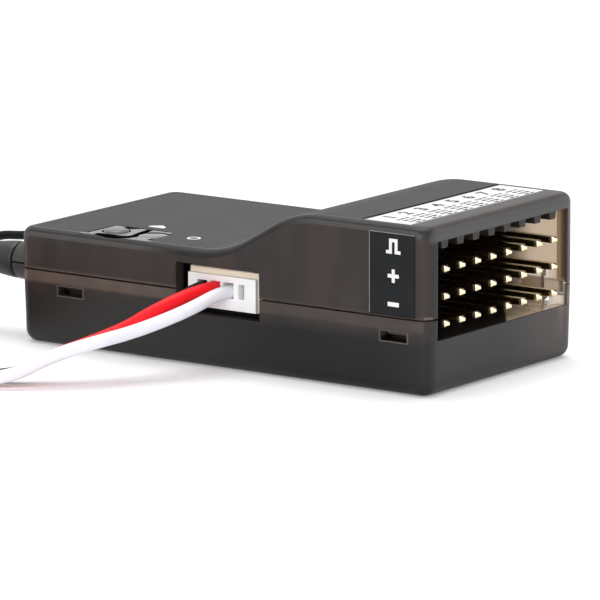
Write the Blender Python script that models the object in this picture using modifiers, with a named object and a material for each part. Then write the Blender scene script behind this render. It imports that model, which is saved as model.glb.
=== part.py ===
"""Eight channel radio control receiver: a two shell case with a raised bay of pins,
a side socket with its three wire lead, and two wire aerials.

X runs along the case with the pins at +X, the side socket faces -Y, and Z is up.
The origin is the middle of the case's underside.
"""

import math

import bmesh
import bpy
import numpy as np
from mathutils import Matrix, Vector

MM = 0.001

# Case
BUTTON_TO_REAR = 9.38 * MM
PORT_LINTEL = 1.39 * MM
SEAM_HEIGHT = 7.25 * MM
WALL = 1.2 * MM
CORNER_RADIUS = 1.6 * MM
RIM_RADIUS = 0.9 * MM
BOTTOM_RADIUS = 1.2 * MM
LOWER_DRAFT = 0.18 * MM
SLOPE_TO_STRIP = 4.4 * MM
SLOPE_RADIUS = 11.0 * MM
SLOPE_ANGLE = math.radians(30)

# Clearances
GAP = 0.3 * MM
SEAM_GAP = 0.25 * MM

# Lip of the lower shell and the tongue of the upper shell behind it
LIP_THICKNESS = 0.45 * MM
LIP_HEIGHT = 1.15 * MM

# Snap hooks, two on each long side, and the windows that show them
HOOK_TO_REAR = 6.28 * MM
HOOK_TO_FRONT = 3.88 * MM
HOOK_WIDTH = 2.4 * MM
HOOK_THICKNESS = 0.55 * MM
HOOK_CATCH = 0.35 * MM
WINDOW_UNDER_SEAM = 2.3 * MM
WINDOW_HEIGHT = 0.9 * MM

# Circuit board and the bosses that hold it
BOARD_TOP = 5.25 * MM
BOARD_THICKNESS = 1.0 * MM
BOARD_TO_REAR = 2.73 * MM
BOARD_PAST_HEADER = 0.07 * MM
BOARD_EDGE = 0.29 * MM
BOSS_RADIUS = 1.2 * MM
BOSS_TO_REAR = 4.53 * MM
BOSS_TO_MIDDLE = 3.4 * MM
BOSS_TO_PINS = 2.2 * MM
BOSS_TO_EDGE = 1.7 * MM

# Pin header: three rows of eight pins
PITCH = 2.54 * MM
COLUMNS = 8
ROWS = ("ground", "power", "signal")
ROW_LIFT = 0.96 * MM
PIN_WIDTH = 0.64 * MM
PIN_TIP_SETBACK = 0.05 * MM
PIN_CHAMFER = 0.14 * MM
PIN_REACH = 6.6 * MM
PIN_TAIL = 0.7 * MM
FIRST_BEND = 1.55 * MM
INSULATOR_DEPTH = 2.5 * MM

# Bay around the pins
BAY_SIDE_ROOM = 0.54 * MM
BAY_CHEEK = 1.6 * MM
BAY_UNDER_BOARD = 0.1 * MM
BAY_HEADROOM = 2.77 * MM
BAY_LINTEL = 1.37 * MM
SHELF_THICKNESS = 1.2 * MM
SHELF_MARGIN = 0.75 * MM
RIB_ROOT = 1.4 * MM
RIB_TIP = 0.9 * MM
RIB_DROP = 0.85 * MM
RIB_SETBACK = 0.5 * MM

# Side socket, its contacts and its plug
PORT_SIDE_ROOM = 0.85 * MM
PORT_HEADROOM = 0.35 * MM
PORT_UNDER_SOCKET = 0.49 * MM
SOCKET_TO_BOSS = 0.675 * MM
SOCKET_WIDTH = 7.95 * MM
SOCKET_HEIGHT = 3.85 * MM
SOCKET_DEPTH = 5.6 * MM
SOCKET_RECESS = 1.3 * MM
SOCKET_WALL = 0.55 * MM
SOCKET_FLOOR = 1.2 * MM
KEYWAY_WIDTH = 1.0 * MM
PLUG_FLANGE = 0.3 * MM
PLUG_MARGIN = 0.08 * MM
PLUG_TOP_MARGIN = 0.75 * MM
PLUG_CAVITY_WIDTH = 0.62 * MM
PLUG_CAVITY_HEIGHT = 1.5 * MM
PLUG_CAVITY_DEPTH = 2.4 * MM
CONTACTS = 4
CONTACT_PITCH = 1.5 * MM
CONTACT_WIDTH = 0.4 * MM
CONTACT_REACH = 2.6 * MM
CONTACT_BEND = 0.9 * MM

# Labels in their shallow recesses
LABEL_THICKNESS = 0.2 * MM
LABEL_MARGIN = 0.4 * MM
FILM_TO_REAR = 1.33 * MM
STRIP_TO_FRONT = 2.67 * MM
STRIP_WIDTH = 5.31 * MM
SIDE_LABEL_TO_FRONT = 1.63 * MM
SIDE_LABEL_WIDTH = 5.1 * MM
SIDE_LABEL_OVER_SEAM = 0.6 * MM
SIDE_LABEL_UNDER_TOP = 0.88 * MM

# Bare island in the film with the button and the lamp window
ISLAND_BEFORE_BUTTON = 2.55 * MM
ISLAND_PAST_LAMP = 2.0 * MM
ISLAND_INSIDE_BUTTON = 2.5 * MM
BUTTON_TO_SIDE = 3.3 * MM
BUTTON_RADIUS = 1.1 * MM
BUTTON_PROUD = 0.2 * MM
BUTTON_TRAVEL = 0.25 * MM
BUTTON_CROWN = 0.06 * MM
BUTTON_CROWN_RADIUS = 0.77 * MM
BUTTON_EDGE = 0.28 * MM
BUTTON_COLLAR = 0.4 * MM
BUTTON_COLLAR_THICKNESS = 0.5 * MM
BUTTON_STEM = 1.0 * MM
LAMP_TO_SOCKET = 6.075 * MM
LAMP_TO_BUTTON = 4.25 * MM
LAMP_TO_SIDE = 3.55 * MM
LAMP_RADIUS = 1.5 * MM
LAMP_SUNK = 0.1 * MM
LIGHT_PIPE_FOOT = 0.9 * MM

# Parts on the board
SWITCH_SIZE = 3.2 * MM
SWITCH_HEIGHT = 1.6 * MM
SWITCH_PLUNGER_RADIUS = 0.75 * MM
LAMP_LENGTH = 1.6 * MM
LAMP_WIDTH = 1.2 * MM
LAMP_HEIGHT = 0.7 * MM
SHIELD_LENGTH = 11.5 * MM
SHIELD_WIDTH = 10.5 * MM
SHIELD_HEIGHT = 1.7 * MM
SHIELD_TO_REAR = 15.53 * MM
SHIELD_Y = 2.6 * MM
CHIP_SIDE = 5.0 * MM
CHIP_HEIGHT = 0.9 * MM
CHIP_TO_PINS = 5.4 * MM
CHIP_Y = 3.2 * MM
CRYSTAL_LENGTH = 3.2 * MM
CRYSTAL_WIDTH = 2.5 * MM
CRYSTAL_HEIGHT = 0.8 * MM
CRYSTAL_TO_PINS = 4.8 * MM
CRYSTAL_Y = -1.6 * MM

# Aerials: neck on the case, rubber boot, coaxial wire and its coil
NECK_TO_SIDE = 3.6 * MM
NECK_RADIUS = 1.78 * MM
NECK_LENGTH = 2.05 * MM
COAX_DIAMETER = 0.9 * MM
BOOT_LENGTH = 5.6 * MM
BOOT_RADIUS = 1.72 * MM
BOOT_TIP_RADIUS = 1.05 * MM
BOOT_CURVE = 0.8
COAX_PLUG_RADIUS = 1.0 * MM
COAX_PLUG_HEIGHT = 1.3 * MM
COAX_PLUG_TO_REAR = 6.43 * MM
COAX_PLUG_TO_NECK = 2.3 * MM
AERIAL_COIL_RADIUS = 5.2 * MM
AERIAL_COIL_TURNS = 3.5
AERIAL_COILS = {"near": (-44.0 * MM, -3.5 * MM), "far": (-55.0 * MM, 2.2 * MM)}

# Lead: three wires, their coil and the connector on the end
WIRE_DIAMETER = 1.25 * MM
LEAD_COIL_X = -33.0 * MM
LEAD_COIL_Y = -22.0 * MM
LEAD_COIL_RADIUS = 7.5 * MM
LEAD_COIL_TURNS = 2
WIRE_SPACING = 1.4 * MM
BUNDLE_DIAMETER = 2.75 * MM
CONNECTOR_LENGTH = 14.0 * MM
CONNECTOR_THICKNESS = 2.6 * MM
CONNECTOR_WIDTH = 7.7 * MM
CONNECTOR_FACE = -46.8 * MM
CONNECTOR_SLOT = 1.4 * MM

# Centre lines of the free wires, in millimetres, chosen by hand
WIRE_ROUTES = {
    "black": [
        (-2.3, -11.9, 7.5), (-2.33, -13.0, 7.5), (-2.55, -14.8, 7.3), (-3.03, -16.75, 6.45),
        (-3.78, -18.25, 5.5), (-4.9, -19.9, 4.62), (-6.42, -22.36, 3.74), (-9.42, -25.6, 2.4),
        (-12.1, -27.6, 1.15), (-15.0, -28.9, 0.69), (-19.8, -29.9, 0.66), (-25.8, -29.3, 0.65),
        (-30.0, -28.4, 0.65), (-33.0, -28.1, 0.65),
    ],
    "red": [
        (-0.8, -11.9, 7.65), (-0.85, -13.0, 7.62), (-1.2, -14.9, 7.42), (-1.75, -17.3, 6.92),
        (-2.7, -19.2, 6.13), (-3.89, -20.8, 5.12), (-5.47, -23.3, 4.14), (-8.57, -26.6, 2.8),
        (-11.2, -28.8, 1.5), (-14.0, -30.4, 0.76), (-19.0, -31.5, 0.66), (-25.4, -30.9, 0.65),
        (-30.0, -29.8, 0.65), (-33.0, -29.5, 0.65),
    ],
    "white": [
        (0.7, -11.9, 7.35), (0.62, -13.1, 7.3), (0.4, -15.4, 6.86), (-0.05, -17.2, 6.36),
        (-0.9, -18.6, 5.82), (-3.03, -22.0, 4.73), (-4.38, -24.8, 4.24), (-7.55, -28.0, 3.0),
        (-10.2, -30.2, 1.6), (-13.2, -32.0, 0.78), (-18.2, -33.1, 0.66), (-25.0, -32.4, 0.65),
        (-30.0, -31.2, 0.65), (-33.0, -30.9, 0.65),
    ],
}
TAIL_ROUTES = {
    "black": [
        (-46.5, -26.96, 1.3), (-45.0, -27.0, 1.36), (-42.4, -27.4, 1.85),
        (-39.6, -27.9, 2.75), (-36.0, -28.1, 3.4),
    ],
    "red": [
        (-46.5, -29.5, 1.3), (-45.0, -29.5, 1.36), (-42.4, -29.5, 1.85),
        (-39.6, -29.5, 2.75), (-36.0, -29.5, 3.4),
    ],
    "white": [
        (-46.5, -32.04, 1.3), (-45.0, -32.0, 1.36), (-42.4, -31.6, 1.85),
        (-39.6, -31.1, 2.75), (-36.0, -30.9, 3.4),
    ],
}
AERIAL_ROUTES = {
    "near": [
        (-18.6, -6.9, 6.2), (-19.6, -7.6, 6.45), (-21.0, -8.4, 6.95), (-22.4, -8.7, 7.22),
        (-24.0, -8.7, 7.25), (-28.0, -8.7, 7.25), (-32.6, -8.7, 7.22), (-34.4, -8.7, 6.9),
        (-36.2, -8.7, 5.6), (-37.8, -8.7, 3.6), (-39.4, -8.7, 1.75), (-41.0, -8.7, 0.72),
        (-42.5, -8.7, 0.5), (-44.0, -8.7, 0.48),
    ],
    "far": [
        (-18.6, 6.9, 6.2), (-19.6, 7.6, 6.45), (-21.0, 8.4, 6.95), (-22.4, 8.7, 7.22),
        (-24.0, 8.7, 7.25), (-28.0, 8.7, 7.25), (-32.6, 8.7, 7.2), (-35.5, 8.7, 6.75),
        (-39.6, 8.7, 5.65), (-42.6, 8.7, 4.85), (-45.6, 8.55, 3.55), (-48.4, 8.2, 2.0),
        (-50.8, 7.8, 0.85), (-53.0, 7.5, 0.5), (-55.0, 7.4, 0.48),
    ],
}

# Heights worked out from the sizes above
SEAT = BOARD_TOP + GAP
BOARD_BOTTOM = BOARD_TOP - BOARD_THICKNESS
LOWEST_ROW = SEAT + ROW_LIFT
BAY_LOW = BOARD_TOP - BAY_UNDER_BOARD
BAY_HIGH = LOWEST_ROW + (len(ROWS) - 1) * PITCH + BAY_HEADROOM
RAISED_HEIGHT = BAY_HIGH + BAY_LINTEL
PORT_LOW = SEAT - PORT_UNDER_SOCKET
PORT_HIGH = SEAT + SOCKET_HEIGHT + PORT_HEADROOM
LOW_HEIGHT = PORT_HIGH + PORT_LINTEL
CEILING = LOW_HEIGHT - WALL
HIGH_CEILING = RAISED_HEIGHT - WALL
WINDOW_LOW = SEAM_HEIGHT - WINDOW_UNDER_SEAM
SIDE_LABEL_LOW = SEAM_HEIGHT + SIDE_LABEL_OVER_SEAM
SIDE_LABEL_HIGH = RAISED_HEIGHT - SIDE_LABEL_UNDER_TOP
LABEL_RECESS = LABEL_THICKNESS + GAP

# Distances from the pin tips' end of the case to each thing behind them
PINS_RUN = PIN_REACH + INSULATOR_DEPTH + FIRST_BEND + (len(ROWS) - 1) * PITCH
PORT_RUN = PINS_RUN + BOSS_TO_PINS + BOSS_RADIUS + SOCKET_TO_BOSS + SOCKET_WIDTH / 2
LAMP_RUN = PORT_RUN + SOCKET_WIDTH / 2 + LAMP_TO_SOCKET
CASE_LENGTH = LAMP_RUN + LAMP_TO_BUTTON + BUTTON_TO_REAR
HALF_LENGTH = CASE_LENGTH / 2

# Places along the case
INSULATOR_FACE = HALF_LENGTH - PIN_REACH
INSULATOR_BACK = INSULATOR_FACE - INSULATOR_DEPTH
LAST_BEND = HALF_LENGTH - PINS_RUN
PORT_X = HALF_LENGTH - PORT_RUN
LAMP_X = HALF_LENGTH - LAMP_RUN
BUTTON_X = LAMP_X - LAMP_TO_BUTTON
ISLAND_START = BUTTON_X - ISLAND_BEFORE_BUTTON
ISLAND_END = LAMP_X + ISLAND_PAST_LAMP
FILM_START = FILM_TO_REAR - HALF_LENGTH
STRIP_END = HALF_LENGTH - STRIP_TO_FRONT
STRIP_START = STRIP_END - STRIP_WIDTH
SLOPE_END = STRIP_START - SLOPE_TO_STRIP
SIDE_LABEL_END = HALF_LENGTH - SIDE_LABEL_TO_FRONT
SIDE_LABEL_START = SIDE_LABEL_END - SIDE_LABEL_WIDTH
HOOK_SITES = (HOOK_TO_REAR - HALF_LENGTH, HALF_LENGTH - HOOK_TO_FRONT)
BOARD_START = BOARD_TO_REAR - HALF_LENGTH
BOARD_END = INSULATOR_FACE + BOARD_PAST_HEADER
SHIELD_AT = (SHIELD_TO_REAR - HALF_LENGTH, SHIELD_Y)
CHIP_AT = (LAST_BEND - CHIP_TO_PINS, CHIP_Y)
CRYSTAL_AT = (LAST_BEND - CRYSTAL_TO_PINS, CRYSTAL_Y)

# Places across the case
PIN_BORE = PIN_WIDTH / 2 + GAP
BAY_WIDTH = COLUMNS * PITCH + 2 * BAY_SIDE_ROOM
CASE_WIDTH = BAY_WIDTH + 2 * BAY_CHEEK
HALF_WIDTH = CASE_WIDTH / 2
HALF_BOARD = (COLUMNS - 1) / 2 * PITCH + PIN_BORE + BOARD_EDGE
BOSS_SITES = (
    (BOSS_TO_REAR - HALF_LENGTH, BOSS_TO_MIDDLE),
    (LAST_BEND - BOSS_TO_PINS, HALF_BOARD - BOSS_TO_EDGE),
)
BUTTON_Y = BUTTON_TO_SIDE - HALF_WIDTH
LAMP_Y = LAMP_TO_SIDE - HALF_WIDTH
ISLAND_BACK = BUTTON_Y + ISLAND_INSIDE_BUTTON
NECK_Y = HALF_WIDTH - NECK_TO_SIDE
COAX_PLUG_X = COAX_PLUG_TO_REAR - HALF_LENGTH
COAX_PLUG_Y = NECK_Y - COAX_PLUG_TO_NECK
SOCKET_FACE = SOCKET_RECESS - HALF_WIDTH
SOCKET_BACK = SOCKET_FACE + SOCKET_DEPTH
CONTACT_BORE = CONTACT_WIDTH / 2 + GAP
CONTACT_ROOT = SOCKET_BACK + CONTACT_BEND
CONTACT_TIP = SOCKET_BACK - SOCKET_FLOOR - CONTACT_REACH
CONTACT_HEIGHT = SEAT + SOCKET_HEIGHT / 2
PLUG_FACE = SOCKET_FACE - GAP - PLUG_FLANGE
CURVE_STEPS = 7

CASE_SMOKE = ("smoke_polycarbonate", (0.035, 0.03, 0.028), 0.25, 0.0)
BLACK_PLASTIC = ("black_nylon", (0.012, 0.012, 0.013), 0.5, 0.0)
GOLD = ("gold_plate", (0.85, 0.6, 0.25), 0.25, 1.0)
CREAM = ("cream_nylon", (0.87, 0.8, 0.66), 0.45, 0.0)
WHITE = ("white_nylon", (0.85, 0.85, 0.86), 0.4, 0.0)
BOARD_MASK = ("board_mask", (0.012, 0.014, 0.016), 0.35, 0.0)
FILM_GREY = ("label_film_grey", (0.13, 0.13, 0.13), 0.6, 0.0)
FILM_WHITE = ("label_film_white", (0.85, 0.85, 0.85), 0.5, 0.0)
FILM_DARK = ("label_film_dark", (0.02, 0.02, 0.022), 0.45, 0.0)
STEEL = ("tinned_steel", (0.62, 0.62, 0.6), 0.35, 1.0)
CLEAR = ("clear_acrylic", (0.3, 0.31, 0.33), 0.1, 0.0)
RUBBER = ("black_rubber", (0.015, 0.015, 0.016), 0.6, 0.0)
WIRE_COLOURS = {"black": (0.01, 0.01, 0.011), "red": (0.78, 0.02, 0.03), "white": (0.86, 0.86, 0.9)}


def clear_scene():
    for obj in list(bpy.data.objects):
        bpy.data.objects.remove(obj, do_unlink=True)


def new_collection(name):
    collection = bpy.data.collections.new(name)
    bpy.context.scene.collection.children.link(collection)
    return collection


clear_scene()
RECEIVER = new_collection("rc_receiver")
CUTTERS = new_collection("cutters")


def material(kind, name):
    """A Principled material of its own for one part."""
    label, colour, roughness, metallic = kind
    made = bpy.data.materials.new(f"{name}_{label}")
    made.use_nodes = True
    shader = made.node_tree.nodes["Principled BSDF"]
    shader.inputs["Base Color"].default_value = (*colour, 1.0)
    shader.inputs["Roughness"].default_value = roughness
    shader.inputs["Metallic"].default_value = metallic
    made.diffuse_color = (*colour, 1.0)
    return made


def mesh_object(name, bm, collection=RECEIVER):
    """Turns a bmesh into an object with its faces pointing out."""
    bmesh.ops.recalc_face_normals(bm, faces=bm.faces)
    mesh = bpy.data.meshes.new(name)
    bm.to_mesh(mesh)
    bm.free()
    obj = bpy.data.objects.new(name, mesh)
    collection.objects.link(obj)
    return obj


def part(name, bm, kind):
    """A named part of the receiver, shaded smooth between its sharp edges."""
    obj = mesh_object(name, bm)
    obj.data.shade_smooth()
    obj.data.set_sharp_from_angle(angle=math.radians(35))
    obj.data.materials.append(material(kind, name))
    return obj


def tool(name, bm):
    """A hidden operand for the Boolean modifiers."""
    obj = mesh_object(name, bm, CUTTERS)
    obj.hide_render = True
    obj.display_type = "WIRE"
    return obj


def combine(obj, operand, operation):
    modifier = obj.modifiers.new(operand.name, "BOOLEAN")
    modifier.object = operand
    modifier.operation = operation
    modifier.solver = "EXACT"
    return obj


def cut(obj, name, bm):
    return combine(obj, tool(name, bm), "DIFFERENCE")


def fuse(obj, name, bm):
    return combine(obj, tool(name, bm), "UNION")


def add_block(bm, low, high):
    """Adds the box between two corners and returns its vertices."""
    low, high = Vector(low), Vector(high)
    place = Matrix.Translation((low + high) / 2) @ Matrix.Diagonal((*(high - low), 1))
    return bmesh.ops.create_cube(bm, size=1, matrix=place)["verts"]


def block(low, high):
    bm = bmesh.new()
    add_block(bm, low, high)
    return bm


def blocks(corners):
    """Several boxes in one mesh, each from its two corners."""
    bm = bmesh.new()
    for low, high in corners:
        add_block(bm, low, high)
    return bm


def rod(centre, radius, height, axis="Z", sides=24):
    """A round bar along one axis, centred on a point."""
    turn = {"Z": Matrix(), "X": Matrix.Rotation(math.pi / 2, 4, "Y")}[axis]
    bm = bmesh.new()
    place = Matrix.Translation(centre) @ turn
    bmesh.ops.create_cone(
        bm, cap_ends=True, segments=sides, radius1=radius, radius2=radius, depth=height, matrix=place
    )
    return bm


def prism(outline, start, end):
    """An outline of (x, z) points drawn out along Y."""
    bm = bmesh.new()
    face = bm.faces.new([bm.verts.new((x, start, z)) for x, z in outline])
    drawn = bmesh.ops.extrude_face_region(bm, geom=[face])
    moved = [v for v in drawn["geom"] if isinstance(v, bmesh.types.BMVert)]
    bmesh.ops.translate(bm, verts=moved, vec=(0, end - start, 0))
    bmesh.ops.recalc_face_normals(bm, faces=bm.faces)
    return bm


def round_edges(bm, chosen, radius, segments):
    """Rounds the edges that a test picks."""
    edges = [e for e in bm.edges if chosen(e)]
    bmesh.ops.bevel(
        bm, geom=edges, offset=radius, segments=segments, profile=0.5, affect="EDGES", clamp_overlap=True
    )


def is_upright(edge):
    a, b = (v.co for v in edge.verts)
    return math.hypot(a.x - b.x, a.y - b.y) < abs(a.z - b.z) * 0.1


def is_rim(edge):
    """An edge between a top face and an upright one."""
    up = sorted(f.normal.z for f in edge.link_faces)
    return len(up) == 2 and abs(up[0]) < 0.1 and up[1] > 0.6


def is_foot(edge):
    """An edge between the underside and a side."""
    up = sorted(f.normal.z for f in edge.link_faces)
    return len(up) == 2 and up[0] < -0.9 and abs(up[1]) < 0.3


def top_line(inset, start, end):
    """Points (x, z) of the case's top from one x to another, at a distance below the surface.

    Two equal arcs and the straight slope between them join the low top to the raised one.
    """
    turn = 1 - math.cos(SLOPE_ANGLE)
    rise = RAISED_HEIGHT - LOW_HEIGHT - 2 * SLOPE_RADIUS * turn
    run = 2 * SLOPE_RADIUS * math.sin(SLOPE_ANGLE) + rise / math.tan(SLOPE_ANGLE)
    angles = np.linspace(0, SLOPE_ANGLE, CURVE_STEPS)
    hollow, crest = SLOPE_RADIUS + inset, SLOPE_RADIUS - inset
    rising = [
        (SLOPE_END - run + hollow * math.sin(a), LOW_HEIGHT + SLOPE_RADIUS - hollow * math.cos(a))
        for a in angles
    ]
    settling = [
        (SLOPE_END - crest * math.sin(a), RAISED_HEIGHT - SLOPE_RADIUS + crest * math.cos(a))
        for a in angles[::-1]
    ]
    return [(start, LOW_HEIGHT - inset), *rising, *settling, (end, RAISED_HEIGHT - inset)]


def ceiling_at(x):
    """Height halfway through the top wall at an x."""
    line = np.array(top_line(WALL / 2, -HALF_LENGTH, HALF_LENGTH))
    return float(np.interp(x, line[:, 0], line[:, 1]))


def case_body(inset, bottom):
    """The case's outer form above a height, or the same form inset on every side."""
    reach, half = HALF_LENGTH - inset, HALF_WIDTH - inset
    outline = [(reach, bottom), (-reach, bottom), *top_line(inset, -reach, reach)]
    bm = prism(outline, -half, half)
    corner = max(CORNER_RADIUS - inset, GAP)
    round_edges(bm, lambda e: is_upright(e) and abs(e.verts[0].co.x) > reach - GAP, corner, 4)
    if RIM_RADIUS > inset:
        round_edges(bm, is_rim, RIM_RADIUS - inset, 3)
    return bm


def rounded_box(inset, low, high):
    """A box with the case's plan, inset on every side, between two heights."""
    reach, half = HALF_LENGTH - inset, HALF_WIDTH - inset
    bm = block((-reach, -half, low), (reach, half, high))
    round_edges(bm, is_upright, max(CORNER_RADIUS - inset, GAP), 4)
    return bm


def slab_under_top(start, end, half, below, above):
    """A sheet that follows the case's top between two depths."""
    lower = top_line(below, start, end)
    upper = top_line(above, start, end)
    return prism([*lower, *upper[::-1]], -half, half)


def neck(side):
    """The round neck that an aerial leaves by, before the seam splits it between the shells."""
    start, end = -HALF_LENGTH - NECK_LENGTH, -HALF_LENGTH + WALL / 2
    return rod(((start + end) / 2, side * NECK_Y, SEAM_HEIGHT), NECK_RADIUS, end - start, "X")


def seam_cutter(low, high):
    """Everything of the case between two heights."""
    reach = HALF_LENGTH + NECK_LENGTH + WALL
    return block((-reach, -HALF_WIDTH - WALL, low), (reach, HALF_WIDTH + WALL, high))


def neck_bore(side):
    length = NECK_LENGTH + 2 * WALL
    centre = (-HALF_LENGTH - NECK_LENGTH / 2 + WALL / 2, side * NECK_Y, SEAM_HEIGHT)
    return rod(centre, COAX_DIAMETER / 2 + GAP, length + WALL, "X", 16)


def port_cutter():
    """The opening in the side wall for the socket, through both shells."""
    half = SOCKET_WIDTH / 2 + PORT_SIDE_ROOM
    return block(
        (PORT_X - half, -HALF_WIDTH - WALL, PORT_LOW),
        (PORT_X + half, -HALF_WIDTH + WALL + GAP, PORT_HIGH),
    )


def bay_cutter(start):
    """The opening in the end wall that the pins face, from an x out."""
    return block((start, -BAY_WIDTH / 2, BAY_LOW), (HALF_LENGTH + WALL, BAY_WIDTH / 2, BAY_HIGH))


def boss_places():
    return [(x, side * y) for x, y in BOSS_SITES for side in (-1, 1)]


def make_lower_case():
    """The open tray: lip around the seam, latch windows, bosses and the shelf of the bay."""
    bm = block((-HALF_LENGTH, -HALF_WIDTH, 0), (HALF_LENGTH, HALF_WIDTH, SEAM_HEIGHT + WALL))
    for v in bm.verts:
        draft = LOWER_DRAFT * (1 - v.co.z / SEAM_HEIGHT)
        v.co.x -= math.copysign(draft, v.co.x)
        v.co.y -= math.copysign(draft, v.co.y)
    round_edges(bm, is_upright, CORNER_RADIUS, 4)
    round_edges(bm, is_foot, BOTTOM_RADIUS, 3)
    tray = part("lower_case", bm, CASE_SMOKE)
    for side, label in ((-1, "near"), (1, "far")):
        fuse(tray, f"lower_neck_{label}", neck(side))
    cut(tray, "lower_seam", seam_cutter(SEAM_HEIGHT, SEAM_HEIGHT + NECK_RADIUS + WALL))
    cut(tray, "tray_cavity", rounded_box(WALL, WALL, SEAM_HEIGHT + WALL))
    cut(tray, "lip_rebate", rounded_box(LIP_THICKNESS, SEAM_HEIGHT - LIP_HEIGHT, SEAM_HEIGHT + WALL))
    for number, (x, y) in enumerate(boss_places()):
        centre = (x, y, (WALL / 2 + BOARD_BOTTOM - GAP) / 2)
        height = BOARD_BOTTOM - GAP - WALL / 2
        fuse(tray, f"lower_boss_{number}", rod(centre, BOSS_RADIUS, height, sides=12))
    half_shelf = BAY_WIDTH / 2 - SHELF_MARGIN
    shelf_start, shelf_end = BOARD_END + GAP, HALF_LENGTH - WALL / 2
    fuse(tray, "bay_shelf", block(
        (shelf_start, -half_shelf, BAY_LOW - SHELF_THICKNESS), (shelf_end, half_shelf, BAY_LOW + GAP)
    ))
    fuse(tray, "shelf_webs", blocks([
        ((shelf_start + GAP, y - WALL / 2, WALL / 2), (shelf_end - GAP, y + WALL / 2, BAY_LOW - GAP))
        for y in (-2 * PITCH, 0, 2 * PITCH)
    ]))
    cut(tray, "lower_bay", bay_cutter(shelf_start - GAP))
    cut(tray, "lower_port", port_cutter())
    cut(tray, "latch_windows", blocks([
        (
            (x - HOOK_WIDTH / 2 - GAP, side * HALF_WIDTH - 2 * WALL, WINDOW_LOW),
            (x + HOOK_WIDTH / 2 + GAP, side * HALF_WIDTH + 2 * WALL, WINDOW_LOW + WINDOW_HEIGHT),
        )
        for x in HOOK_SITES for side in (-1, 1)
    ]))
    for side, label in ((-1, "near"), (1, "far")):
        cut(tray, f"lower_bore_{label}", neck_bore(side))
    return tray


def hook(x, side):
    """A snap hook: a tongue inside the wall with a catch in the latch window."""
    face = HALF_WIDTH - WALL - GAP
    back = face - HOOK_THICKNESS
    reach = face + WALL / 2
    catch_low = WINDOW_LOW + GAP
    catch_high = catch_low + HOOK_CATCH
    root = SEAM_HEIGHT + SEAM_GAP + GAP
    outline = [
        (back, WINDOW_LOW - GAP), (face, WINDOW_LOW - GAP),
        (face, catch_low), (reach, catch_high - GAP / 2), (reach, catch_high), (face, catch_high),
        (face, root), (reach, root), (reach, root + WALL), (back, root + GAP),
    ]
    bm = prism(outline, -HOOK_WIDTH / 2, HOOK_WIDTH / 2)
    turn = Matrix.Rotation(side * math.pi / 2, 4, "Z")
    bmesh.ops.transform(bm, matrix=Matrix.Translation((x, 0, 0)) @ turn, verts=bm.verts)
    return bm


def guide_rib(column):
    """One tapered rib on the bay's ceiling, in line with a column of pins."""
    y = (column - (COLUMNS - 1) / 2) * PITCH
    low, high = BAY_HIGH - RIB_DROP, HIGH_CEILING + WALL / 2
    bm = block(
        (INSULATOR_FACE + GAP, y - RIB_ROOT / 2, low), (HALF_LENGTH - RIB_SETBACK, y + RIB_ROOT / 2, high)
    )
    for v in bm.verts:
        if v.co.z < BAY_HIGH:
            v.co.y = y + math.copysign(RIB_TIP / 2, v.co.y - y)
    return bm


def film_recess():
    """The shallow pocket for the labels, without the bare island at the button."""
    half = HALF_WIDTH - RIM_RADIUS - LABEL_MARGIN / 4
    pocket = mesh_object(
        "label_pocket",
        slab_under_top(FILM_START - GAP, STRIP_END + GAP, half, LABEL_RECESS, -RIM_RADIUS),
        CUTTERS,
    )
    pocket.hide_render = True
    pocket.display_type = "WIRE"
    cut(pocket, "button_island", block(
        (ISLAND_START, -HALF_WIDTH, 0), (ISLAND_END, ISLAND_BACK, RAISED_HEIGHT + WALL)
    ))
    return pocket


def make_upper_case():
    """The cover: raised bay, tongue behind the lip, snap hooks, ribs and posts."""
    cover = part("upper_case", case_body(0, SEAM_HEIGHT - WALL), CASE_SMOKE)
    for side, label in ((-1, "near"), (1, "far")):
        fuse(cover, f"upper_neck_{label}", neck(side))
    cut(cover, "upper_seam", seam_cutter(0, SEAM_HEIGHT + SEAM_GAP))
    tongue_low = SEAM_HEIGHT - LIP_HEIGHT + GAP
    tongue_inset = LIP_THICKNESS + SEAM_GAP
    fuse(cover, "tongue", rounded_box(tongue_inset, tongue_low, SEAM_HEIGHT + WALL))
    cut(cover, "cover_cavity", case_body(WALL, tongue_low - WALL))
    cut(cover, "upper_bay", bay_cutter(HALF_LENGTH - WALL - GAP))
    for column in range(COLUMNS):
        fuse(cover, f"guide_rib_{column}", guide_rib(column))
    for number, (x, y) in enumerate(boss_places()):
        centre = (x, y, (SEAT + ceiling_at(x)) / 2)
        fuse(cover, f"upper_post_{number}", rod(centre, BOSS_RADIUS, ceiling_at(x) - SEAT, sides=12))
    for x in HOOK_SITES:
        for side in (-1, 1):
            fuse(cover, f"hook_{x / MM:.0f}_{side}", hook(x, side))
    cut(cover, "upper_port", port_cutter())
    combine(cover, film_recess(), "DIFFERENCE")
    cut(cover, "side_label_pocket", block(
        (SIDE_LABEL_START - GAP, -HALF_WIDTH - WALL, SIDE_LABEL_LOW - GAP),
        (SIDE_LABEL_END + GAP, -HALF_WIDTH + LABEL_RECESS, SIDE_LABEL_HIGH + GAP),
    ))
    cut(cover, "button_hole", rod((BUTTON_X, BUTTON_Y, LOW_HEIGHT), BUTTON_RADIUS + GAP, 4 * WALL))
    cut(cover, "lamp_hole", rod((LAMP_X, LAMP_Y, LOW_HEIGHT), LAMP_RADIUS + GAP, 4 * WALL))
    for side, label in ((-1, "near"), (1, "far")):
        cut(cover, f"upper_bore_{label}", neck_bore(side))
    return cover


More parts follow.
